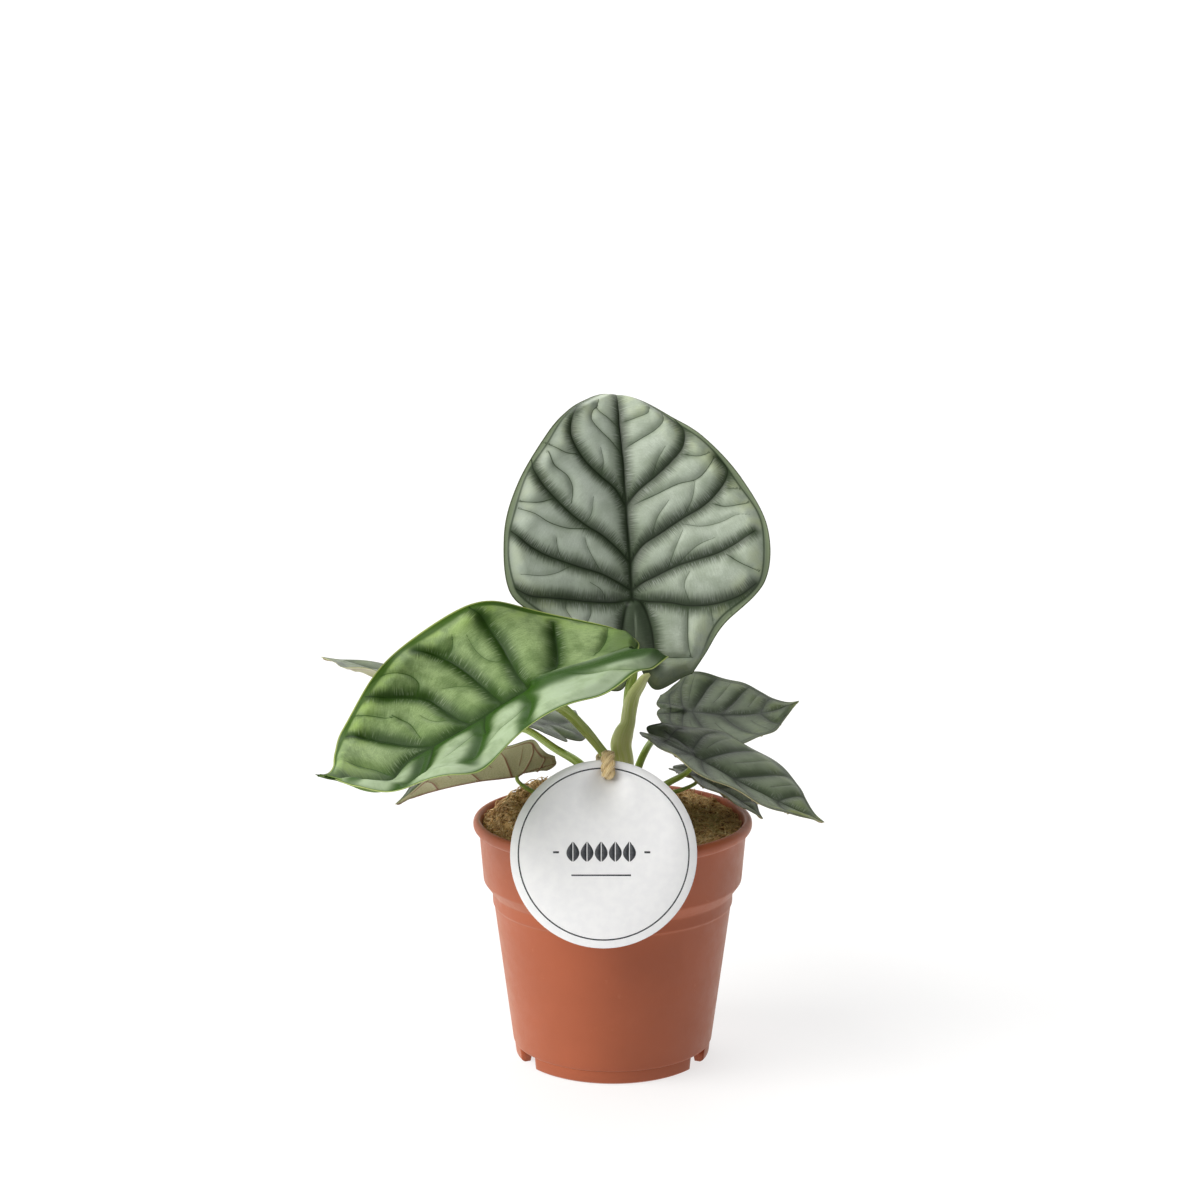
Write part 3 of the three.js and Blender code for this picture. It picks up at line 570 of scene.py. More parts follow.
def node(tree, kind, feeds=None, **settings):
    """Adds a node with its settings, and feeds its inputs with other outputs, with numbers or
    with colours as hex text."""
    made = tree.nodes.new("ShaderNode" + kind)
    for key, value in settings.items():
        setattr(made, key, value)
    for key, value in (feeds or {}).items():
        if isinstance(value, bpy.types.NodeSocket):
            tree.links.new(value, made.inputs[key])
        else:
            made.inputs[key].default_value = colour(value) if isinstance(value, str) else value
    return made


def new_material(name, paint, *shades):
    """A material whose Principled surface gets the inputs that paint makes in its tree."""
    material = bpy.data.materials.new(name)
    material.use_nodes = True
    tree = material.node_tree
    tree.nodes.clear()
    surface = node(tree, "BsdfPrincipled", paint(tree, *shades))
    node(tree, "OutputMaterial", {"Surface": surface.outputs[0]})
    return material


def place_in(tree):
    """The place on the part, in metres."""
    return node(tree, "TexCoord").outputs["Object"]


def mapped(tree, name):
    """A piece's own UV map, in millimetres."""
    return node(tree, "UVMap", uv_map=name).outputs[0]


def threefold(tree, name):
    """The three numbers of a vertex attribute."""
    vector = node(tree, "Attribute", attribute_name=name).outputs["Vector"]
    return node(tree, "SeparateXYZ", {0: vector}).outputs


def noise(tree, place, scale, detail, roughness=0.5, kind="3D"):
    """Smooth random values: scale is how many of its largest bumps fit in a unit."""
    feeds = {0: place, "Scale": scale, "Detail": detail, "Roughness": roughness}
    return node(tree, "TexNoise", feeds, noise_dimensions=kind).outputs[0]


def streaks(tree, place, across, along, detail, roughness=0.5):
    """Noise drawn out in one direction, with its scales across and along the streaks."""
    drawn = node(tree, "Mapping", {0: place, 3: (across, along, 1)}).outputs[0]
    return noise(tree, drawn, 1.0, detail, roughness, "2D")


def reckon(tree, how, *values):
    """A sum, product or other figure of one to three values."""
    return node(tree, "Math", dict(enumerate(values)), operation=how).outputs[0]


def product(tree, value, *others):
    """The product of values."""
    for other in others:
        value = reckon(tree, "MULTIPLY", value, other)
    return value


def ranged(tree, value, low, high, to_low=0.0, to_high=1.0):
    """A value taken smoothly from one range to another."""
    feeds = {"Value": value, "From Min": low, "From Max": high, "To Min": to_low,
             "To Max": to_high}
    return node(tree, "MapRange", feeds, interpolation_type="SMOOTHSTEP").outputs[0]


def mixed(tree, share, first, second):
    """A mix of two colours by a share."""
    return node(tree, "Mix", {0: share, 6: first, 7: second}, data_type="RGBA").outputs[2]


def clouded(tree, value, first, second, low=0.3, high=0.7):
    """A colour that goes from the first to the second as a noise rises."""
    return mixed(tree, ranged(tree, value, low, high), first, second)


def bump(tree, height, strength, distance):
    """A surface's fine relief: its depth is in metres."""
    feeds = {"Height": height, "Strength": strength, "Distance": distance}
    return node(tree, "Bump", feeds).outputs[0]


# Leaves

def vein_line(tree, signed, off, ink):
    """The line exp(-n^2) of a vein, kept away from places where n only changes sign."""
    bell = reckon(tree, "EXPONENT", product(tree, signed, signed, -1.0))
    return product(tree, bell, ink, ranged(tree, off, 1.6, 2.8, 1.0, 0.0))


def leaf_paint(tree, shades):
    """Living leaf: a waxy skin over green tissue. The colour goes from the green by the veins,
    which also paints shade in their grooves, to the silver of the pillows, then a silvery tint
    that also paints sheen and the light on a lit half, the feathered dark tissue beside the veins
    with painted highlights on it, the veins themselves, dark bands of which some are painted
    shade, the plain border and its edge; the underside has its own paler green."""
    halo, near, _ = threefold(tree, "veins")
    main_at, thin_at, thin_ink = threefold(tree, "lines")
    main_off, thin_off, band = threefold(tree, "away")
    vein_green_and_groove_shade, border, warm = threefold(tree, "ground")
    below, edge, pale_and_sheen = threefold(tree, "sides")
    along, flat = mapped(tree, "along"), mapped(tree, "blade")
    main = vein_line(tree, main_at, main_off, 1.0)
    thin = vein_line(tree, thin_at, thin_off, thin_ink)
    # Feathers and hairs about 0.5 mm apart run square to the veins
    comb = streaks(tree, along, 2.2, 0.12, 2, 0.6)
    hairs = streaks(tree, along, 2.4, 0.2, 1)
    # Clouds of silver are about 9 mm wide, and grain about 0.7 mm
    cloud = noise(tree, flat, 0.11, 3, kind="2D")
    grain = noise(tree, flat, 1.4, 3, kind="2D")
    # The tone falls toward the veins: their own deeper green, and painted shade in their grooves
    tone = product(tree, vein_green_and_groove_shade, ranged(tree, cloud, 0.25, 0.62, 0.55, 1.1),
                   ranged(tree, grain, 0.3, 0.75, 0.85, 1.1),
                   ranged(tree, hairs, 0.3, 0.7, 0.82, 1.12))
    reach = reckon(tree, "SUBTRACT", product(tree, comb, 0.62), near)
    feather = product(tree, ranged(tree, reach, -0.82, 0.24), shades["feathering"])
    # Painted highlights: glossy pale streaks on the feathered tissue, where its steep flanks catch
    # the light
    painted_glint = product(tree, ranged(tree, hairs, 0.52, 0.7), ranged(tree, cloud, 0.4, 0.6),
                    ranged(tree, near, 0.1, 0.3), ranged(tree, near, 0.6, 1.0, 1.0, 0.0),
                    shades["painted_glint_share"])
    # The silvery tint also paints sheen and the light on a lit half, and the dark bands include
    # painted shade
    layers = {
        "warm": product(tree, warm, ranged(tree, cloud, 0.35, 0.65)),
        "pale_and_sheen": product(tree, pale_and_sheen, ranged(tree, cloud, 0.3, 0.6, 0.65, 1.0)),
        "feather": feather, "painted_glint": painted_glint, "border": border,
        "fine": reckon(tree, "MAXIMUM", thin, halo), "band": band, "vein": main, "edge": edge}
    tint = mixed(tree, tone, shades["mid"], shades["light"])
    for shade, share in layers.items():
        tint = mixed(tree, share, tint, shades[shade])
    under = clouded(tree, grain, shades["under"], shades["under_light"])
    under = mixed(tree, reckon(tree, "MAXIMUM", main, thin), under, shades["under_vein"])
    gloss = shades["gloss"]
    height = reckon(tree, "ADD", product(tree, grain, 0.35), product(tree, comb, 0.5))
    return {"Base Color": mixed(tree, below, tint, under),
            "Roughness": ranged(tree, grain, 0.25, 0.75, gloss - 0.05, gloss + 0.09),
            "Normal": bump(tree, height, 0.5, 0.0002), "IOR": 1.45,
            "Specular IOR Level": shades["shine"]}


def half_rows(leaf, half):
    """The rows of one half leaf in millimetres."""
    rows = np.array([leaf["rows"][half].get(k, row) for k, row in enumerate(ROWS)]) / 1000
    rows[:, [1, 3]] *= leaf["width"][half]
    rows[:, [0, 2, 4]] = np.where(
        rows[:, [0, 2, 4]] < 0, rows[:, [0, 2, 4]] * leaf["lobes"], rows[:, [0, 2, 4]])
    return rows * leaf["length"]


def between_rows(rows, v):
    """Values at place v among the rows: each stretch is the Catmull-Rom cubic of its four
    nearest rows."""
    k = np.clip(np.floor(v).astype(int), 0, LAST_ROW - 1)
    t = (v - k)[..., None]
    a, b, c, d = (rows[np.clip(k + i, 0, LAST_ROW)] for i in (-1, 0, 1, 2))
    return b + 0.5 * t * (c - a + t * (2 * a - 5 * b + 4 * c - d + t * (3 * (b - c) + d - a)))


def flat_point(leaf, half, u, v):
    """Place on the flat half leaf, across and along: a quadratic curve from the midrib at
    u = 0 over the bending point to the margin at u = 1, its three points taken between the
    rows. At the midrib both halves share the mean of their starts."""
    v = v - leaf["round"] * smoothstep(u, 0.4, 1) * smoothstep(v, 9, LAST_ROW)
    own = between_rows(half_rows(leaf, half), v)
    other = between_rows(half_rows(leaf, 1 - half), v)
    start = own[..., 0] + (other[..., 0] - own[..., 0]) / 2 * (1 - smoothstep(u, 0, 0.12))
    x = 2 * u * (1 - u) * own[..., 1] + u * u * own[..., 3]
    y = (1 - u) ** 2 * start + 2 * u * (1 - u) * own[..., 2] + u * u * own[..., 4]
    return x, y


def bent_line(angle_at, length):
    """How far out and how far up a line reaches whose slope changes along it: the sums of the
    cosines and sines of its slope in equal steps."""
    share = (np.arange(BEND_STEPS) + 0.5) / BEND_STEPS
    angles = angle_at(length[..., None] * share)
    return np.cos(angles).mean(-1) * length, np.sin(angles).mean(-1) * length


def turned(vector, axis, angle):
    """A vector turned about an axis of length 1."""
    return (vector * math.cos(angle) + np.cross(axis, vector) * math.sin(angle)
            + axis * np.dot(axis, vector) * (1 - math.cos(angle)))


def leaf_axes(leaf):
    """Directions across to a leaf's right, along to its tip and out of its face."""
    heading, pitch = math.radians(leaf["heading"]), math.radians(leaf["pitch"])
    tip = np.array([math.cos(heading) * math.cos(pitch), math.sin(heading) * math.cos(pitch),
                    math.sin(pitch)])
    right = np.array([math.sin(heading), -math.cos(heading), 0])
    face = np.cross(right, tip)
    roll, swing = -math.radians(leaf["roll"]), math.radians(leaf["swing"])
    right, face = turned(right, tip, roll), turned(face, tip, roll)
    return turned(right, face, swing), turned(tip, face, swing), face


def leaf_point(leaf, half, u, x, y, v, height):
    """Place in space of a point of the flat leaf, raised by height: across the blade the
    slope grows from the midrib's to the margin's, along it the front and the lobes droop,
    the margin waves from row to row, swells rise as bells, and the midrib sways aside by a
    bell along its length that fades to the margins."""
    side, size = 1 if half else -1, leaf["length"]
    right, tip, face = leaf_axes(leaf)
    at_rib, at_margin = np.radians(leaf["right" if half else "left"])
    rise = lambda d: at_rib + (at_margin - at_rib) * np.minimum(d / (0.62 * size), 1.3)
    out, up = bent_line(rise, x)
    droop, lobe = math.radians(leaf["droop"]), math.radians(leaf["lobe_droop"])
    slope = lambda s: np.where(s >= 0, -droop * (np.maximum(s, 0) / size) ** leaf["power"],
                               -lobe * s / (0.5 * size))
    along, lift = bent_line(slope, y)
    ripple = leaf["wave"][half] * np.cos(2 * np.pi * (v - leaf["crest"][half]) / WAVE_ROWS)
    height = height + ripple * (x / (0.55 * size)) ** 2
    for where, x0, y0, wide, long, tall in leaf["swells"]:
        bell = np.exp(-((x / size - x0) / wide) ** 2 - ((y / size - y0) / long) ** 2)
        height = height + (tall * bell if where == half else 0)
    far, place, spread = leaf["sway"]
    sway = far * size * np.exp(-((y / size - place) / spread) ** 2) * (1 - u) ** 1.5
    across = side * (out - height * np.sin(rise(x))) - sway * smoothstep(1 - y / size, 0, 0.1)
    high = up + height * np.cos(rise(x))
    angle = slope(y)
    return (np.array(leaf["joint"]) + across[..., None] * right
            + (along - np.sin(angle) * high)[..., None] * tip
            + (lift + np.cos(angle) * high)[..., None] * face)


def pattern_veins(leaf, half):
    """Veins of a leaf of the plain pattern: five main veins that run out along the rows, and
    a fine vein midway between them from a quarter of the way out."""
    veins = [("rib", 0, 0, 70, -150, 100, -300)]
    for kind, rows, ends in (("main", (3.2, 4.6, 6.0, 7.4, 8.8), (0, 0.93)),
                             ("fine", (3.9, 5.3, 6.7), (0.25, 0.93))):
        for row in rows:
            u = np.linspace(*ends, 9)
            x, y = flat_point(leaf, half, u, row)
            lift = 0.03 * leaf["length"] * smoothstep(u, 0.6, 1) if kind == "main" else 0
            veins.append((kind, *at_points(x, y + lift).ravel() / leaf["length"] * 1000))
    return veins


def near_line(x, y, line):
    """Distance from each point to a line of straight pieces, below 0 to the line's left, how
    far along it is met and the line's length."""
    start, step = line[:-1], np.diff(line, axis=0)
    size = np.linalg.norm(step, axis=1)
    dx, dy = x[:, None] - start[:, 0], y[:, None] - start[:, 1]
    share = np.clip((dx * step[:, 0] + dy * step[:, 1]) / np.maximum(size, 1e-9) ** 2, 0, 1)
    away = np.hypot(dx - share * step[:, 0], dy - share * step[:, 1])
    best = away.argmin(1)
    pick = np.arange(len(x)), best
    met = np.concatenate([[0], np.cumsum(size)])[best] + share[pick] * size[best]
    left = dx[pick] * step[best, 1] - dy[pick] * step[best, 0] < 0
    return np.where(left, -away[pick], away[pick]), met, size.sum()


def vein_fields(leaf, half, x, y):
    """What the veins do at each point of the flat half leaf. The signed distance to the
    nearest vein, as a share n of its width, is kept for the main and for the thin veins; the
    material draws the line exp(-n^2) from it. Each vein also gives a feathered edge that ends
    at its reach, a halo exp(-d/r) and a groove 1 - depth exp(-(d/g)^1.3)."""
    size = leaf["length"]
    listed = leaf["veins"][half] if leaf["veins"] else pattern_veins(leaf, half)
    veins = [("rib", 0, -20, 0, 500, 0, 985), *listed]
    starts = dict(main=FAR_OFF, thin=FAR_OFF, thin_ink=0, halo=0, band=0, near=FAR_OFF, met=0,
                  aside=0, ground=1, low=1)
    at = {key: np.full(x.size, float(start)) for key, start in starts.items()}

    def take(chosen, **values):
        """Keeps values at the chosen points."""
        for key, value in values.items():
            at[key] = np.where(chosen, value, at[key])

    scale = 0.45 + 0.55 * size / 100
    for number, (kind, *points) in enumerate(veins):
        width, reach, groove, depth, ink = VEIN_KINDS[kind]
        points = np.reshape(points, (-1, 2)) / 1000 * size
        line = smooth_line(points, np.linspace(0, 1, 8 * len(points)))
        signed, along, whole = near_line(x.ravel(), y.ravel(), line)
        away, share = np.abs(signed), np.minimum(along / whole, 1)
        slim = 1 if kind in PAINTED else 1 - 0.5 * share
        line_at = signed / (width * scale * slim)
        fade = 1 - smoothstep(share, 0.8, 1) * 0.6
        if kind in PAINTED:
            at["band"] = np.maximum(at["band"], ink * np.exp(-line_at ** 4))
        elif kind in ("rib", "main"):
            take(np.abs(line_at) < np.abs(at["main"]), main=line_at)
            edge = away / (reach * scale * (0.45 + 0.55 * slim))
            # Feathers of different veins are told apart by 40 mm in their map
            take(edge < at["near"], near=edge, met=along + 40 * number, aside=away)
        else:
            take(np.abs(line_at) < np.abs(at["thin"]), thin=line_at, thin_ink=ink)
            soft = 0.5 * ink * np.exp(-away / (0.4 * reach * scale)) * (1 - share) ** 0.5
            at["halo"] = np.maximum(at["halo"], soft)
            fade = fade * smoothstep(share, 0, 0.25)
        at["ground"] *= 1 - depth * fade * np.exp(-(away / (groove * scale)) ** 1.3)
        # The colour's tone falls a little wider than each groove: the green by the veins, and
        # painted shade in the groove
        at["low"] *= 1 - depth * fade * np.exp(-(away / (1.5 * groove * scale)) ** 1.5)
    return {key: value.reshape(x.shape) for key, value in at.items()}


def half_leaf(leaf, half, u, v):
    """Place, normal height and material fields of one half of a leaf, on a grid of rows v
    and columns u."""
    u, v = np.meshgrid(u, v)
    x, y = flat_point(leaf, half, u, v)
    edge = at_points(*flat_point(leaf, half, 1, np.linspace(0, LAST_ROW, EDGE_STEPS)))
    cleft = at_points(*flat_point(leaf, half, np.linspace(1, 0, CLEFT_STEPS), LAST_ROW))
    outline = np.concatenate([edge, cleft[1:]])
    inside, around, _ = near_line(x.ravel(), y.ravel(), outline)
    inside, around = np.abs(inside).reshape(x.shape), around.reshape(x.shape)
    fields = vein_fields(leaf, half, x, y)
    scale = 0.4 + 0.6 * leaf["length"] / 100
    broad = smoothstep(v, 2.5, 5) * (1 - 0.6 * smoothstep(v, 8.2, 9.5))
    width = scale * (1.2 + 1.5 * broad) * (1 + 0.18 * np.sin(around / 6.0 + 2.0 * half))
    width *= leaf["border"]
    dark = width * leaf["dark_border"][half]
    fields["border"] = 1 - smoothstep(inside, 0.7 * dark, 1.1 * dark)
    # The vein inside the border joins the thin ones
    rim_at = (inside - 1.1 * width) / (0.7 * scale)
    rim_ink = leaf["rim"] * smoothstep(v, 1.1, 2.4) * (1 - 0.6 * smoothstep(v, 8.3, 9.2))
    nearer = np.abs(rim_at) < np.abs(fields["thin"])
    fields["thin"] = np.where(nearer, rim_at, fields["thin"])
    fields["thin_ink"] = np.where(nearer, rim_ink, fields["thin_ink"])
    soft = 0.55 * rim_ink * np.exp(-np.abs(inside - 1.1 * width) / (2.0 * scale))
    fields["halo"] = np.maximum(fields["halo"], soft)
    rim = leaf["edge"] * scale
    fields["edge"] = (1 - smoothstep(inside, 0.4 * rim, rim)) * smoothstep(v, 0.6, 1.8)
    # The silvery tint, which also paints sheen and light, follows the tone and so is strongest on
    # the pillows
    pale_and_sheen = fields["low"]
    if leaf["pale_rim"]:
        pale_and_sheen = 1 - smoothstep(inside, 0.6 * leaf["pale_rim"], leaf["pale_rim"])
    fields["pale_and_sheen"] = leaf["pale_and_sheen"][half] * pale_and_sheen
    # Under the joint, where no vein runs, both halves meet at one height
    seam = np.exp(-(x / (3.5 * scale)) ** 2) * smoothstep(-y, 0, 4.0 * scale)
    fields["ground"] += (0.8 - fields["ground"]) * seam
    crumple = (patchy(x + 50 * half, y + 200, 9.0, 3) - 0.5) * (1 - seam)
    level = smoothstep(inside, 0.3 * width, 4.2 * width)
    height = leaf["relief"] * fields["ground"] * level + 0.5 * scale * crumple * level
    height *= smoothstep(v, 0.15, 1.6)
    fields.update(inside=inside, x=x if half else -x, y=y, v=v)
    return leaf_point(leaf, half, u, x, y, v, height), fields


def leaf_mesh(name, leaf):
    """A thin closed blade: the grid of both halves, joined at the midrib, is moved along its
    normals by half its thickness to the face and to the underside, where the veins stand
    proud, and the two sheets are joined along the margin. It thins towards the margin."""
    columns, count = leaf["fine"]
    u = 1 - (1 - np.linspace(0, 1, columns)) ** 1.3
    v = np.linspace(0.03, LAST_ROW, count)
    left, left_fields = half_leaf(leaf, 0, u, v)
    right, right_fields = half_leaf(leaf, 1, u, v)
    join = lambda a, b: np.concatenate([a[:, ::-1], b[:, 1:]], axis=1)
    middle = join(left, right)
    fields = {key: join(left_fields[key], right_fields[key]) for key in left_fields}
    normal = unit(np.cross(np.gradient(middle, axis=0), np.gradient(middle, axis=1)))
    half_thick = MARGIN_HALF + INNER_HALF * smoothstep(fields["inside"], 0, 3)
    proud = 0.5 * np.exp(-fields["main"] ** 2) + 0.2 * np.exp(-fields["thin"] ** 2)
    face = middle + normal * half_thick[..., None]
    under = middle - normal * (half_thick + proud)[..., None]
    points = np.concatenate([face.reshape(-1, 3), under.reshape(-1, 3)])
    wide = 2 * columns - 1
    sheet, half = grid_quads(count, wide), count * wide
    ring = np.concatenate([
        np.arange(wide), wide * np.arange(1, count) + wide - 1,
        (count - 1) * wide + np.arange(wide - 2, -1, -1), wide * np.arange(count - 2, 0, -1)])
    after = np.roll(ring, -1)
    rim = np.stack([ring, after, after + half, ring + half], -1)
    mesh = mesh_from(name, points, sheet[:, ::-1], sheet + half, rim)
    tip = 1 - smoothstep(fields["v"], 0.5, 1.6)
    bright = leaf["bright_tip"] * tip
    plain = np.maximum(fields["border"] * (1 - bright), tip - bright)
    warm = np.maximum(0.5 * smoothstep(-fields["inside"], -14, -4), tip)
    main, thin = (np.clip(fields[key], -LINE_CAP, LINE_CAP) for key in ("main", "thin"))
    # Each vector holds three numbers for the material, and the veins' third is spare
    below = np.arange(2)[:, None, None]
    told = {
        "lines": (main, thin, fields["thin_ink"]),
        "away": (abs(main), abs(thin), fields["band"]),
        "veins": (fields["halo"], fields["near"], 0),
        "ground": (fields["low"], plain, warm),
        "sides": (below, fields["edge"], np.maximum(fields["pale_and_sheen"], bright)),
        "along": (fields["met"], fields["aside"]),
        "blade": (fields["x"], fields["y"]),
    }
    for label, values in told.items():
        # The underside's points, for which below is 1, follow the face's
        tell = give_map if len(values) == 2 else give
        tell(mesh, label, at_points(*(value + 0 * below for value in values)))
    return mesh


# Shades of the leaves, how strong the feathers and the painted highlights on them are, the
# shine and the roughness. Among the shades are a painted highlight, a silvery tint that also
# paints sheen and light, and a dark band colour that also serves painted shade
SILVER = dict(
    light="#BCC7B8", mid="#84917B", warm="#A9B57F", feather="#2A3822", fine="#33422A",
    vein="#1A2613", border="#8C9A7C", edge="#3F4A28", pale_and_sheen="#B9C4BA", band="#424F3C",
    painted_glint="#D5DCD8", under="#8E987B", under_light="#A3AB90", under_vein="#69704B",
    feathering=0.93, painted_glint_share=0.16, shine=0.4, gloss=0.4)
GREEN = dict(
    light="#92A873", mid="#3C5724", warm="#86A24A", feather="#223B0D", fine="#2F4B18",
    vein="#1D340B", border="#3F5C1C", edge="#9FAE62", pale_and_sheen="#A3B49B", band="#27480B",
    painted_glint="#B4C6A0", under="#8E9E6C", under_light="#A2B07C", under_vein="#6E8A44",
    feathering=0.92, painted_glint_share=0.2, shine=0.12, gloss=0.36)
DARK = dict(
    light="#77846A", mid="#4E5B42", warm="#6C7A48", feather="#2D3728", fine="#333E2B",
    vein="#252F1F", border="#4F5B3E", edge="#3B4622", pale_and_sheen="#98A362", band="#2A3325",
    painted_glint="#C8CEC8", under="#A0A279", under_light="#B4B28C", under_vein="#7A4F3E",
    feathering=0.6, painted_glint_share=0.14, shine=0.14, gloss=0.36)

silver = new_material("waxy_silver_leaf", leaf_paint, SILVER), "leaf_silver"
green = new_material("waxy_young_green_leaf", leaf_paint, GREEN), "leaf_green"
dark = new_material("waxy_dark_leaf", leaf_paint, DARK), "leaf_dark"
LEAF_FINISH = {"leaf_upright": silver, "leaf_front_left": green}
for name, leaf in LEAVES.items():
    add_piece(leaf_mesh(name + "_blade", leaf), *LEAF_FINISH.get(name, dark), name)


# Stems

def stem_paint(tree):
    """Living stem: smooth juicy skin, yellow green with faint lengthwise streaks and a little
    paler where it is dry and papery."""
    streak = streaks(tree, mapped(tree, "stem"), 2.2, 0.06, 3)
    speck = noise(tree, place_in(tree), 900, 2)
    sheath, deep, papery = threefold(tree, "skin")
    tint = clouded(tree, streak, "#A4C252", "#C6DA80")
    tint = mixed(tree, sheath, tint, clouded(tree, streak, "#DCE88A", "#F0F6B6"))
    tint = mixed(tree, deep, tint, clouded(tree, streak, "#7D9636", "#A1B856"))
    papery = product(tree, papery, ranged(tree, speck, 0.35, 0.6, 0.5, 1.0))
    return {"Base Color": mixed(tree, papery, tint, "#E2E0A6"),
            "Roughness": ranged(tree, streak, 0.2, 0.8, 0.38, 0.52),
            "Normal": bump(tree, streak, 0.35, 0.0003)}


def stem_knots(stem):
    """A stem's points with two more that lead it square into the underside of its blade."""
    leaf = LEAVES[stem["leaf"]]
    face = leaf_axes(leaf)[2]
    sag = math.radians(max(0, -leaf["left"][0], -leaf["right"][0]))
    clear = 0.1 + stem["top"] * math.tan(sag)
    below = lambda d: (*(np.array(leaf["joint"]) - face * d), stem["top"])
    return [*stem["points"], below(clear + 0.74 + stem["run"]), below(clear)]


def stems_mesh(name, tubes):
    """One mesh of several stems. Each is its knots, its share of sheath colour and of deep
    green, and a function of its length that gives how papery it is."""
    a = np.linspace(0, 2 * np.pi, STEM_SIDES, endpoint=False)
    rings, skins, maps = [], [], []
    for knots, sheath, deep, papery in tubes:
        *line, length = tube_line(knots, STEM_STEPS)
        rings.append(ovals(*line, STEM_SIDES))
        around = np.mean([k[3] for k in knots]) * np.abs((a + np.pi) % (2 * np.pi) - np.pi)
        maps.append(at_points(around, length[:, None]))
        skins.append(at_points(sheath, deep, papery(length[:, None] / length[-1]) + 0 * a))
    mesh = mesh_from(name, *closed_tubes(np.stack(rings)))
    give(mesh, "skin", np.concatenate(skins))
    give_map(mesh, "stem", np.concatenate(maps))
    return mesh


def never(share):
    """Nowhere papery."""
    return 0 * share


def sheath_dry(share):
    """Papery round the fork, as a bell, and more and more towards the tip."""
    return np.maximum(
        0.5 * np.exp(-((share - 0.58) / 0.06) ** 2), 0.6 * smoothstep(share, 0.86, 1.0))


fleshy_stem = new_material("fleshy_green_stem", stem_paint)
shoot = [(SHEATH, 1.0, 0.0, sheath_dry), (stem_knots(STEMS["upright"]), 0.0, 0.2, never),
         (stem_knots(STEMS["front"]), 0.25, 0.0, never)]
add_piece(stems_mesh("shoot", shoot), fleshy_stem, "stem", "main_shoot")
for name, stem in STEMS.items():
    if name.startswith("petiole"):
        tube = [(stem_knots(stem), 0.0, 0.7, never)]
        add_piece(stems_mesh(name + "_stem", tube), fleshy_stem, "stem", name)


# Pot

def pot_paint(tree):
    """Moulded polypropylene in a terracotta colour: an even satin skin with a faint cloud in
    its pigment, fine grain from the mould and small dusty scuffs."""
    place = place_in(tree)
    cloud, grain = noise(tree, place, 28, 4), noise(tree, place, 1400, 2)
    scuff = noise(tree, place, 160, 5, 0.7)
    tint = clouded(tree, cloud, "#9D5031", "#A55535")
    tint = mixed(tree, ranged(tree, scuff, 0.62, 0.78, 0.0, 0.35), tint, "#BC7657")
    return {"Base Color": tint, "Roughness": ranged(tree, scuff, 0.3, 0.75, 0.4, 0.55),
            "Normal": bump(tree, grain, 0.25, 0.0001), "IOR": 1.49,
            "Specular IOR Level": 0.3, "Sheen Weight": 0.22, "Sheen Tint": "#FFE0C4"}


def rounded(profile, cut, steps=4):
    """A profile of straight pieces whose inner corners are arcs: each corner becomes a
    quadratic curve between points that lie a cut before and after it."""
    profile = np.asarray(profile, float)
    before, corner, after = profile[:-2], profile[1:-1], profile[2:]
    back, ahead = before - corner, after - corner
    trim = lambda d: unit(d) * np.minimum(cut, 0.45 * np.linalg.norm(d, axis=1))[:, None]
    a, c = corner + trim(back), corner + trim(ahead)
    t = np.linspace(0, 1, steps)[None, :, None]
    arcs = (1 - t) ** 2 * a[:, None] + 2 * t * (1 - t) * corner[:, None] + t ** 2 * c[:, None]
    return np.vstack([profile[:1], arcs.reshape(-1, 2), profile[-1:]])


def turned_surface(profile, angles):
    """Points of a profile of radius and height turned through the angles, row by row."""
    r, z = profile[:, 0][:, None], profile[:, 1][:, None]
    return np.stack([r * np.cos(angles), r * np.sin(angles), z + 0 * angles], -1)


def pot_wall():
    """The pot's wall: a rounded profile, up the outside and down the inside, turned about the
    axis."""
    lip = POT_HEIGHT
    profile = rounded([
        (FLOOR_CELLS_RADIUS, FLOOR_UNDER), (37.3, 5.8), (42.7, 5.8), (43.3, FLOOR_UNDER),
        (51.2, SHOULDER - 11), (51.8, SHOULDER - 10.2), (51.9, SHOULDER - 5.2),
        (55.7, SHOULDER), (57.5, lip - 5.4), (59.3, lip - 4.8), (RIM_RADIUS, lip - 3.4),
        (RIM_RADIUS, lip - 1.6), (59.2, lip - 0.3), (57.9, lip), (56.8, lip - 0.6),
        (56.2, lip - 2.4), (54.3, SHOULDER + 0.4), (50.4, SHOULDER - 4.8),
        (49.7, SHOULDER - 11), (41.6, 9.4), (40.6, FLOOR_TOP),
        (FLOOR_CELLS_RADIUS, FLOOR_TOP)], 0.7)
    wall = turned_surface(profile, np.linspace(0, 2 * np.pi, POT_STEPS, endpoint=False))
    return wall.reshape(-1, 3), grid_quads(len(profile), POT_STEPS, around=True)


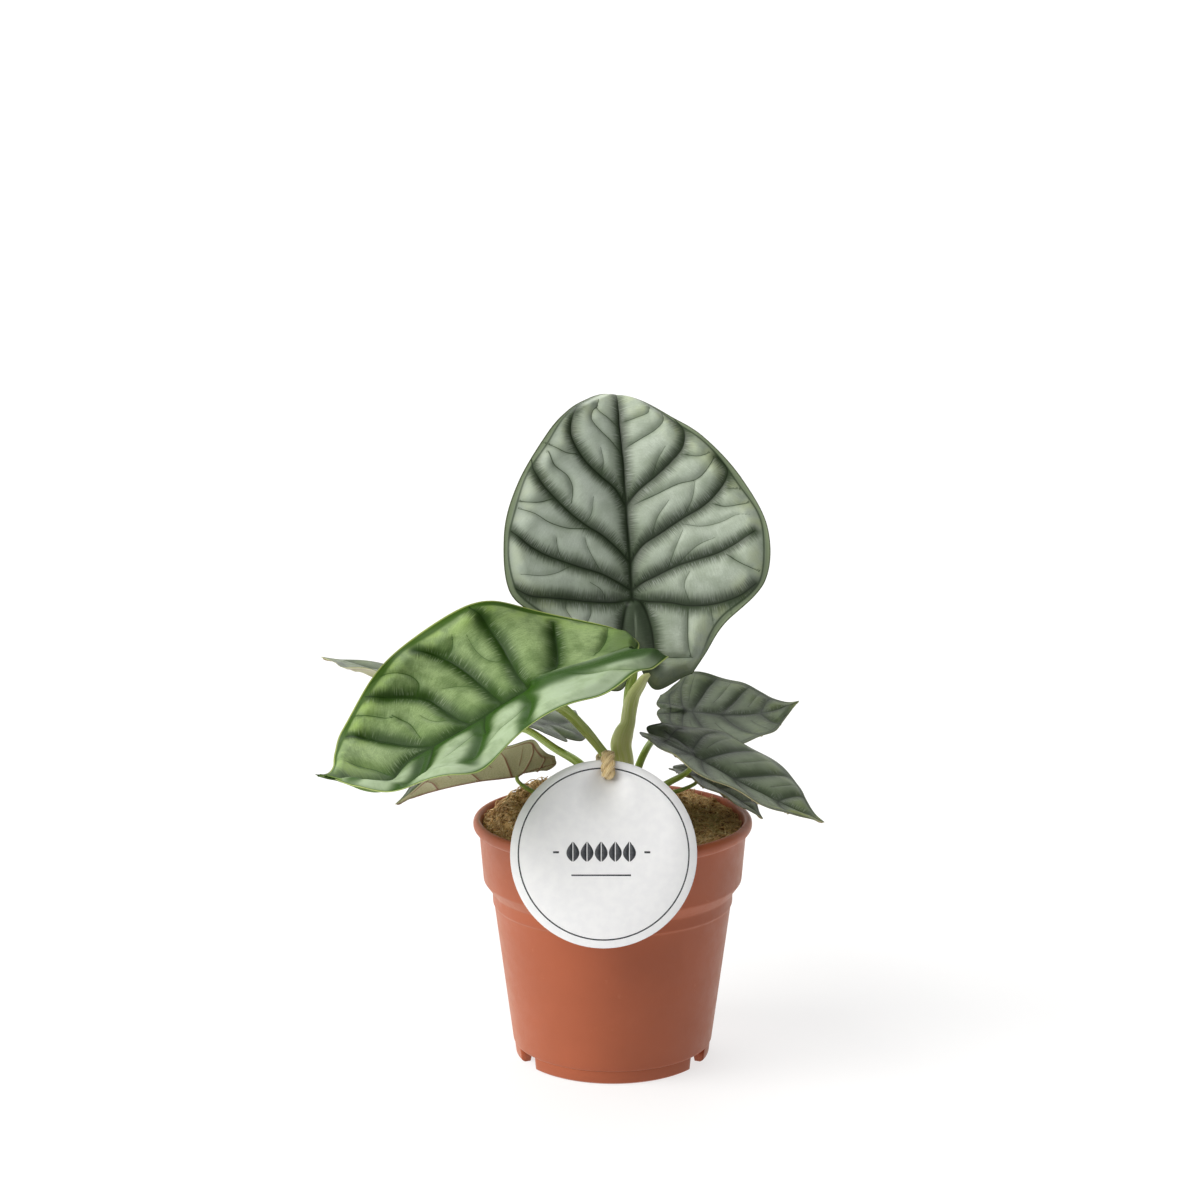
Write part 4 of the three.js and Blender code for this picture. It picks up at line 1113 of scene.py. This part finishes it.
def floor_cell(number):
    """One cell of the pot's floor: points that run straight from a drain hole to the cell's
    edge on the underside, and back on the top."""
    turned_by = 2 * math.pi / FLOOR_CELLS
    arc = turned_by / 2 * np.linspace(-1, 1, POT_STEPS // FLOOR_CELLS + 1)
    spoke = FLOOR_CELLS_RADIUS * np.linspace(1, 0, 9)[1:, None]
    corner = np.array([math.cos(turned_by / 2), math.sin(turned_by / 2)])
    edge = np.concatenate([
        FLOOR_CELLS_RADIUS * np.column_stack([np.cos(arc), np.sin(arc)]),
        spoke * corner, spoke[-2::-1] * corner * [1, -1]])
    centre = np.array([DRAIN_CIRCLE, 0])
    hole = centre + DRAIN_RADIUS * unit(edge - centre)
    cell = hole + (edge - hole) * np.linspace(1, 0, 4)[:, None, None]
    cell = np.concatenate([
        np.dstack([cell, np.full(cell.shape[:2], FLOOR_UNDER)]),
        np.dstack([cell[::-1], np.full(cell.shape[:2], FLOOR_TOP)])])
    a = turned_by * (number + 0.5)
    turn = [[math.cos(a), math.sin(a), 0], [-math.sin(a), math.cos(a), 0], [0, 0, 1]]
    return cell.reshape(-1, 3) @ turn, grid_quads(len(cell), len(edge), around=True)


def foot_arcs():
    """The pot's foot: a rounded profile turned through three arcs, with a notch between each
    two."""
    foot = rounded([(37.9, 2.4), (38.4, 0), (FOOT_RADIUS, 0), (42.2, 0.8), (42.8, 6.1),
                    (37.1, 6.1), (37.9, 2.4)], 0.3)[:-1]
    starts, stops = np.array(NOTCHES), np.append(NOTCHES[1:], NOTCHES[0] + 360)
    sweeps = np.radians(np.linspace(starts + NOTCH_HALF, stops - NOTCH_HALF, FOOT_STEPS,
                                    axis=1))
    return closed_tubes(np.stack([turned_surface(foot, s).transpose(1, 0, 2) for s in sweeps]))


pot = mesh_from("pot_shell", *joined([pot_wall(), *map(floor_cell, range(FLOOR_CELLS)),
                                    foot_arcs()]))
merge_points(pot)
add_piece(pot, new_material("moulded_terracotta_polypropylene", pot_paint), "pot_plastic", "pot")


# Soil

def soil_paint(tree, dark, light, green, gap_shade):
    """Coir: brown coconut fibre and crumbs, matt, with a green film where moss has begun, pale
    tan crumbs that are partly a painted highlight, and painted shade in the gaps between them.
    """
    place = place_in(tree)
    clod, crumb = noise(tree, place, 260, 4), noise(tree, place, 1100, 3, 0.7)
    moss = node(tree, "Attribute", attribute_name="moss").outputs["Fac"]
    tint = clouded(tree, clod, dark, light, 0.35, 0.65)
    # Pale tan crumbs, partly a painted highlight, then painted shade in the gaps between crumbs
    tint = mixed(tree, ranged(tree, crumb, 0.5, 0.68, 0.0, 0.8), tint, "#DDBB88")
    tint = mixed(tree, ranged(tree, crumb, 0.3, 0.44, gap_shade, 0.0), tint, "#2C1E14")
    grown = product(tree, moss, ranged(tree, clod, 0.35, 0.55))
    return {"Base Color": mixed(tree, grown, tint, green), "Roughness": 0.95,
            "Normal": bump(tree, crumb, 0.8, 0.0008)}


def soil_lumps():
    """Centres and heights of the soil's lumps, drawn as for its solid."""
    state, lumps = 7, []
    for _ in range(LUMPS_DRAWN):
        draws = []
        for _ in range(3):
            state = (state * 1664525 + 1013904223) % 4294967296
            draws.append(state / 4294967296)
        radius, angle = 52 * math.sqrt(draws[0]), 2 * math.pi * draws[1]
        lumps.append((radius * math.cos(angle), radius * math.sin(angle),
                      2.2 * (draws[2] * 1.5 - 0.5)))
    return np.array(lumps)


LUMPS = soil_lumps()


def soil_height(x, y):
    """Height of the soil: a tilted plane, a bell-shaped mound round the stems and a bell for
    each lump, levelled towards the pot's wall to a brim that rises at the back and dips by a
    bell on the right."""
    bell = lambda dx, dy, spread: np.exp(-(dx * dx + dy * dy) / (2 * spread * spread))
    z = SOIL_EDGE - SOIL_TILT * x + MOUND[2] * bell(x - MOUND[0], y - MOUND[1], MOUND[3])
    dx, dy = x[..., None] - LUMPS[:, 0], y[..., None] - LUMPS[:, 1]
    z = z + (LUMPS[:, 2] * bell(dx, dy, LUMP_SPREAD)).sum(-1)
    x0, y0, deep, wide, long = BRIM_DIP
    dip = deep * np.exp(-((x - x0) / wide) ** 2 - ((y - y0) / long) ** 2)
    brim = BRIM + smoothstep(y, 10, 40) - dip
    return z + (brim - z) * smoothstep(np.hypot(x, y), 46, 55)


def mossy(mesh, points):
    """Tells a mesh how mossy it is at its points: a bell on the right, broken up."""
    x, y = points[..., 0].ravel(), points[..., 1].ravel()
    patch = np.exp(-((x - 40) / 16) ** 2 - ((y + 4) / 22) ** 2)
    give(mesh, "moss", np.clip(0.6 * patch * (0.3 + patchy(x, y, 5.0, 11)), 0, 1))
    return mesh


def soil_mesh():
    """The soil's plug: rings up the pot's wall and then in over the top to the middle, with
    crumbs of three sizes added to the height."""
    angles = np.linspace(0, 2 * np.pi, SOIL_STEPS, endpoint=False)
    wall = np.array([(34, 8.3), (40, 8.3), (41.2, 9.6), (49.3, 67.2), (50, 73.2),
                     (53.8, 78.8), (55.6, 98.5)])
    radii = np.append(np.linspace(SOIL_RADIUS, 5, SOIL_RINGS), 2.5)[:, None]
    x, y = radii * np.cos(angles), radii * np.sin(angles)
    rough = sum(tall * (patchy(x + 90, y + 90, size, seed) - 0.5)
                for tall, size, seed in ((2.2, 3.1, 5), (1.7, 1.5, 6), (0.9, 0.8, 7)))
    top = np.stack([x, y, soil_height(x, y) - 0.3 + rough * smoothstep(56 - radii, 0, 3)], -1)
    rings = np.concatenate([turned_surface(wall, angles), top])[None]
    return mossy(mesh_from("soil_bed", *closed_tubes(rings)), rings)


def scattered(count, draws):
    """Places spread evenly over the soil, clear of the pot's lip."""
    radius = LOOSE_RADIUS * np.sqrt(draws.random((count, 1)))
    angle = 2 * np.pi * draws.random((count, 1))
    return radius * np.cos(angle), radius * np.sin(angle)


def fibres_mesh(name, count, seed, long, thick, rise):
    """Loose fibres: each is a three-sided tube of seven rings along an arc that starts and
    ends in the soil, bows sideways and up, and tapers to its ends."""
    draws = np.random.default_rng(seed)
    x, y = scattered(count, draws)
    heading = 2 * np.pi * draws.random((count, 1))
    length = long * (0.4 + draws.random((count, 1)))
    bow = length * (draws.random((count, 1)) - 0.5) * 0.7
    height = rise * draws.random((count, 1)) ** 2
    t = np.linspace(0, 1, FIBRE_RINGS)
    arch = 4 * t * (1 - t)
    ahead, aside = (t - 0.5) * length, bow * arch
    x = x + ahead * np.cos(heading) - aside * np.sin(heading)
    y = y + ahead * np.sin(heading) + aside * np.cos(heading)
    shrink = np.minimum(1, FIBRE_RADIUS / np.hypot(x, y))
    x, y = x * shrink, y * shrink
    line = np.stack([x, y, soil_height(x, y) + 0.25 + height * arch], -1)
    forward = unit(np.gradient(line, axis=1))
    across = unit(np.cross(forward, [0, 0, 1.0]))
    radius = thick * (0.5 + draws.random((count, 1))) * (0.25 + 0.75 * np.sin(np.pi * t))
    rings = ovals(line, across, np.cross(across, forward), radius, radius, HAIR_SIDES)
    return mossy(mesh_from(name, *closed_tubes(rings)), rings)


def crumbs_mesh(name, count, seed, size):
    """Crumbs: each is a twelve-cornered ball squeezed by its own three sizes, turned at
    random and half sunk in the soil."""
    draws = np.random.default_rng(seed)
    x, y = scattered(count, draws)
    gold = (1 + math.sqrt(5)) / 2
    ball = unit(np.array([
        (-1, gold, 0), (1, gold, 0), (-1, -gold, 0), (1, -gold, 0), (0, -1, gold), (0, 1, gold),
        (0, -1, -gold), (0, 1, -gold), (gold, 0, -1), (gold, 0, 1), (-gold, 0, -1),
        (-gold, 0, 1)]))
    sides = np.array([
        (0, 11, 5), (0, 5, 1), (0, 1, 7), (0, 7, 10), (0, 10, 11), (1, 5, 9), (5, 11, 4),
        (11, 10, 2), (10, 7, 6), (7, 1, 8), (3, 9, 4), (3, 4, 2), (3, 2, 6), (3, 6, 8),
        (3, 8, 9), (4, 9, 5), (2, 4, 11), (6, 2, 10), (8, 6, 7), (9, 8, 1)])
    scale = size * (0.35 + draws.random((count, 1, 1)) ** 2) * (0.5 + draws.random((count, 1, 3)))
    turn = np.linalg.qr(draws.normal(size=(count, 3, 3)))[0]
    turn *= np.sign(np.linalg.det(turn))[:, None, None]
    shape = (ball * scale * (0.8 + 0.4 * draws.random((count, len(ball), 1)))) @ turn
    points = shape + np.stack([x, y, soil_height(x, y) + 0.3 * scale.mean(-1)], -1)
    faces = (sides + len(ball) * np.arange(count)[:, None, None]).reshape(-1, 3)
    return mossy(mesh_from(name, points.reshape(-1, 3), faces), points)


coir = new_material("brown_coir", soil_paint, "#94704A", "#D8B27C", "#7E7C3E", 0.9)
coir_fibre = new_material(
    "tan_coir_fibre", soil_paint, "#CDA874", "#F6DEB0", "#A29C58", 0.25)
add_piece(soil_mesh(), coir, "coir_soil", "soil")
add_piece(fibres_mesh("coir_long_fibres", 1100, 21, 8.0, 0.26, 2.6), coir_fibre, "coir_soil")
add_piece(fibres_mesh("coir_short_fibres", 1600, 22, 4.5, 0.22, 1.8), coir_fibre, "coir_soil")
add_piece(crumbs_mesh("coir_crumbs", 1400, 23, 1.1), coir, "coir_soil")


# Tag

def card_paint(tree):
    """Coated white card: smooth and slightly satin, with the faintest mottle of its pulp."""
    pulp = noise(tree, place_in(tree), 300, 4)
    return {"Base Color": clouded(tree, pulp, "#F1F2F4", "#F6F7F8"), "Roughness": 0.5,
            "Normal": bump(tree, pulp, 0.1, 0.0001)}


def ink_paint(tree):
    """Printing ink: flat dark grey, a little uneven where it soaked into the card."""
    soak = noise(tree, place_in(tree), 900, 2)
    return {"Base Color": clouded(tree, soak, "#303338", "#44474C"), "Roughness": 0.6}


def on_tag(across, up, out):
    """A place on the leaning card from its own two directions and the height off its face."""
    lean = math.radians(TAG_LEAN)
    rise = np.array([0, math.sin(lean), math.cos(lean)])
    front = np.array([0, -math.cos(lean), math.sin(lean)])
    return (TAG_CENTRE + np.asarray(across)[..., None] * [1.0, 0, 0]
            + np.asarray(up)[..., None] * rise + np.asarray(out)[..., None] * front)


def tag_mesh():
    """The card: a closed band from the hole's edge to the rim and back. Each point runs
    straight from the hole to the rim, whose corners are slightly rounded."""
    a = np.linspace(0, 2 * np.pi, TAG_SIDES, endpoint=False)
    ray, middle = np.column_stack([np.cos(a), np.sin(a)]), np.array(TAG_HOLE)
    hole = middle + TAG_HOLE_RADIUS * ray
    # Where the ray from the hole's centre at each angle meets the rim
    dot = ray @ middle
    far = -dot + np.sqrt(dot ** 2 + TAG_RADIUS ** 2 - middle @ middle)
    rim = middle + ray * far[:, None]
    half = TAG_THICKNESS / 2
    shares = [(0, half), (0.3, half), (0.65, half), (0.996, half), (1, half - 0.12),
              (1, 0.12 - half), (0.996, -half), (0.65, -half), (0.3, -half), (0, -half)]
    rows = [on_tag(*(hole + (rim - hole) * share).T, out) for share, out in shares]
    return mesh_from("tag_disc", *closed_ring(np.stack(rows)))


def printed(inner, outer, closed=False):
    """Points and faces of a strip of ink between two lines on the card."""
    low, high = TAG_THICKNESS / 2 - INK_SUNK, TAG_THICKNESS / 2 + INK_PROUD
    rows = np.stack([on_tag(*line.T, out) for line, out in (
        (inner, low), (inner, high), (outer, high), (outer, low))], 1)
    return closed_ring(rows) if closed else closed_tubes(rows[None])


def print_mesh():
    """The print on the card: a thin ring, and a row of five plain leaves between two dashes
    with a bar under it."""
    a = np.linspace(0, 2 * np.pi, RING_SIDES, endpoint=False)
    ring = np.column_stack([np.cos(a), np.sin(a)])
    parts = [printed(RING_RADIUS * ring, (RING_RADIUS + RING_WIDTH) * ring, True)]
    for left, right, low, high in PRINT_BARS:
        parts.append(printed(np.array([(left, low), (right, low)]),
                             np.array([(left, high), (right, high)])))
    # Leaves: half width w(t) = 2.9 sin(pi t)^0.8 (1 - t)^0.3 at height t, with a bare midrib
    t = np.linspace(0.01, 0.99, PRINT_STEPS)
    half = 0.2 + 2.9 * np.sin(np.pi * t) ** 0.8 * (1 - t) ** 0.3
    up = -3.2 + 8.1 * t
    for middle in np.linspace(-12.4, 10.4, 5):
        for side in (-1, 1):
            rib = at_points(middle + 0.18 * side, up)
            parts.append(printed(rib, at_points(middle + side * half, up)))
    mesh = mesh_from("tag_print", *joined(parts))
    merge_points(mesh, 1e-7)
    return mesh


add_piece(tag_mesh(), new_material("coated_white_card", card_paint), "tag_card", "tag_card")
add_piece(print_mesh(), new_material("dark_grey_print", ink_paint), "tag_card")


# Twine

def jute_paint(tree):
    """Jute: coarse dull bast fibre, tan with darker and paler strands."""
    fibre = streaks(tree, mapped(tree, "strand"), 3.2, 0.35, 3)
    return {"Base Color": clouded(tree, fibre, "#C3A56C", "#E6D2A4"), "Roughness": 0.9,
            "Normal": bump(tree, fibre, 0.8, 0.0003), "Sheen Weight": 0.25}


def plies_mesh(centre, across, up, wide, deep, length):
    """The twine: plies wound round the loop's line, each a round tube whose centre turns
    evenly inside the loop's oval section."""
    number = np.arange(PLIES)[:, None]
    phase = 2 * np.pi * (length / PLY_TURN + number / PLIES)
    line = (centre + across * (0.55 * wide * np.cos(phase))[..., None]
            + up * (0.5 * deep * np.sin(phase))[..., None])
    rings = ovals(line, across, up, 0.5 * wide + 0.1, 0.55 * deep + 0.1, PLY_SIDES)
    mesh = mesh_from("twine_plies", *closed_tubes(rings))
    give_map(mesh, "strand", at_points(PLY_SPIN + 4 * number[:, None], length[:, None]))
    return mesh


def knot_mesh():
    """The knot: a tube wound twice round a ring, as a flattened overhand knot shows."""
    t = np.linspace(0, 2 * np.pi, KNOT_STEPS, endpoint=False)
    core = 0.9 * (1 + 0.25 * np.cos(3 * t))
    line = np.column_stack([core * np.cos(2 * t), 0.8 * np.sin(3 * t), core * np.sin(2 * t)])
    ahead = unit(np.roll(line, -1, 0) - np.roll(line, 1, 0))
    side = unit(np.cross(ahead, (0.1, 1.0, 0.2)))
    rings = ovals(line + KNOT, side, np.cross(side, ahead), KNOT_THICK, KNOT_THICK,
                  PLY_SIDES)
    mesh = mesh_from("twine_knot", *closed_ring(rings))
    give_map(mesh, "strand", at_points(PLY_SPIN, 6 * t[:, None]))
    return mesh


def fuzz_mesh(centre, across, up, wide, deep):
    """Loose ends of fibre on the twine: each a three-sided spike of four rings that leaves
    the surface and leans along it."""
    draws = np.random.default_rng(31)
    # None grows near the loop's ends, which the knot covers
    count, bare = FUZZ_ENDS, 60
    at = draws.integers(bare, len(centre) - bare, count)
    centre, across, up, wide, deep = (
        values[at].reshape(count, -1) for values in (centre, across, up, wide, deep))
    spin = 2 * np.pi * draws.random((count, 1))
    out = across * np.cos(spin) + up * np.sin(spin)
    root = centre + across * wide * np.cos(spin) + up * deep * np.sin(spin)
    along = np.cross(across, up) * np.sign(draws.random((count, 1)) - 0.5)
    along = along * (0.5 + 1.6 * draws.random((count, 1)))
    lift = out * (0.2 + 0.5 * draws.random((count, 1)))
    t = np.linspace(0, 1, FUZZ_RINGS)
    line = root[:, None] + along[:, None] * t[:, None] + lift[:, None] * t[:, None] ** 1.5
    radius = 0.07 * (1.05 - t)
    rings = ovals(line, across[:, None], out[:, None], radius, radius, HAIR_SIDES)
    mesh = mesh_from("twine_fuzz", *closed_tubes(rings))
    give_map(mesh, "strand", np.zeros((rings.size // 3, 2)))
    return mesh


jute = new_material("twisted_jute", jute_paint)
*loop, loop_length = tube_line(TWINE, TWINE_STEPS, (1, 0, 0))
add_piece(plies_mesh(*loop, loop_length), jute, "jute_twine", "tag_twine")
add_piece(knot_mesh(), jute, "jute_twine")
add_piece(fuzz_mesh(*loop), jute, "jute_twine")


# Stage, lights and camera

def table_paint(_):
    """White acrylic of a light table: plain, matt and faintly lit from behind."""
    return {"Base Color": "#909090", "Roughness": 0.9, "Emission Color": "#FFFFFF",
            "Emission Strength": 0.72}


def sweep_mesh():
    """The floor, which curves up behind the part: a line turned through a quarter circle."""
    near, back, bend, top, half = -4000, 900, 2400, 5000, 5000
    a = np.linspace(0, np.pi / 2, 90)
    y = np.concatenate([[near, 0, 800], back + bend * np.sin(a), [back + bend]])
    z = np.concatenate([[0, 0, 0], bend - bend * np.cos(a), [top]])
    points = np.concatenate([at_points(x, y, z) for x in (half, -half)])
    return mesh_from("paper_sweep", points, grid_quads(2, len(y)))


sweep = sweep_mesh()
sweep.materials.append(new_material("lit_white_acrylic_table", table_paint))
in_scene("paper_sweep", sweep)


def area_light(name, place, aim, size, watts, tint):
    """A square soft light at a place, in millimetres, turned to its aim."""
    data = bpy.data.lights.new(name, "AREA")
    data.size = size
    data.energy = watts
    data.color = colour(tint)[:3]
    lamp = in_scene(name, data)
    lamp.location = Vector(place) * MM
    lamp.rotation_euler = (Vector(aim) - Vector(place)).to_track_quat("-Z", "Y").to_euler()


area_light("key_left", (-3150, -850, 1650), (0, 0, 130), 2.2, 85.0, "#FFFCF7")
area_light("key_upper", (-2000, -1160, 2890), (0, 0, 130), 3.0, 132.0, "#FFFDFA")
area_light("background_top", (0, 2000, 2700), (0, 2300, 200), 2.0, 36.0, "#FFFFFF")

world = bpy.data.worlds.new("white_studio")
world.use_nodes = True
sky = world.node_tree.nodes["Background"]
sky.inputs["Color"].default_value = colour("#FFFFFF")
sky.inputs["Strength"].default_value = 0.06
bpy.context.scene.world = world
bpy.context.scene.view_settings.view_transform = "Standard"

lens = bpy.data.cameras.new("photograph_view")
lens.lens = CAMERA_LENS
lens.sensor_width = SENSOR
lens.clip_start, lens.clip_end = 0.05, 20.0
camera = in_scene("photograph_view", lens)
camera.location = (np.array(CAMERA_PLACE) + POT_AXIS) * MM
camera.rotation_euler = (math.radians(90 - CAMERA_DOWN), 0, 0)
bpy.context.scene.camera = camera

bpy.context.view_layer.update()
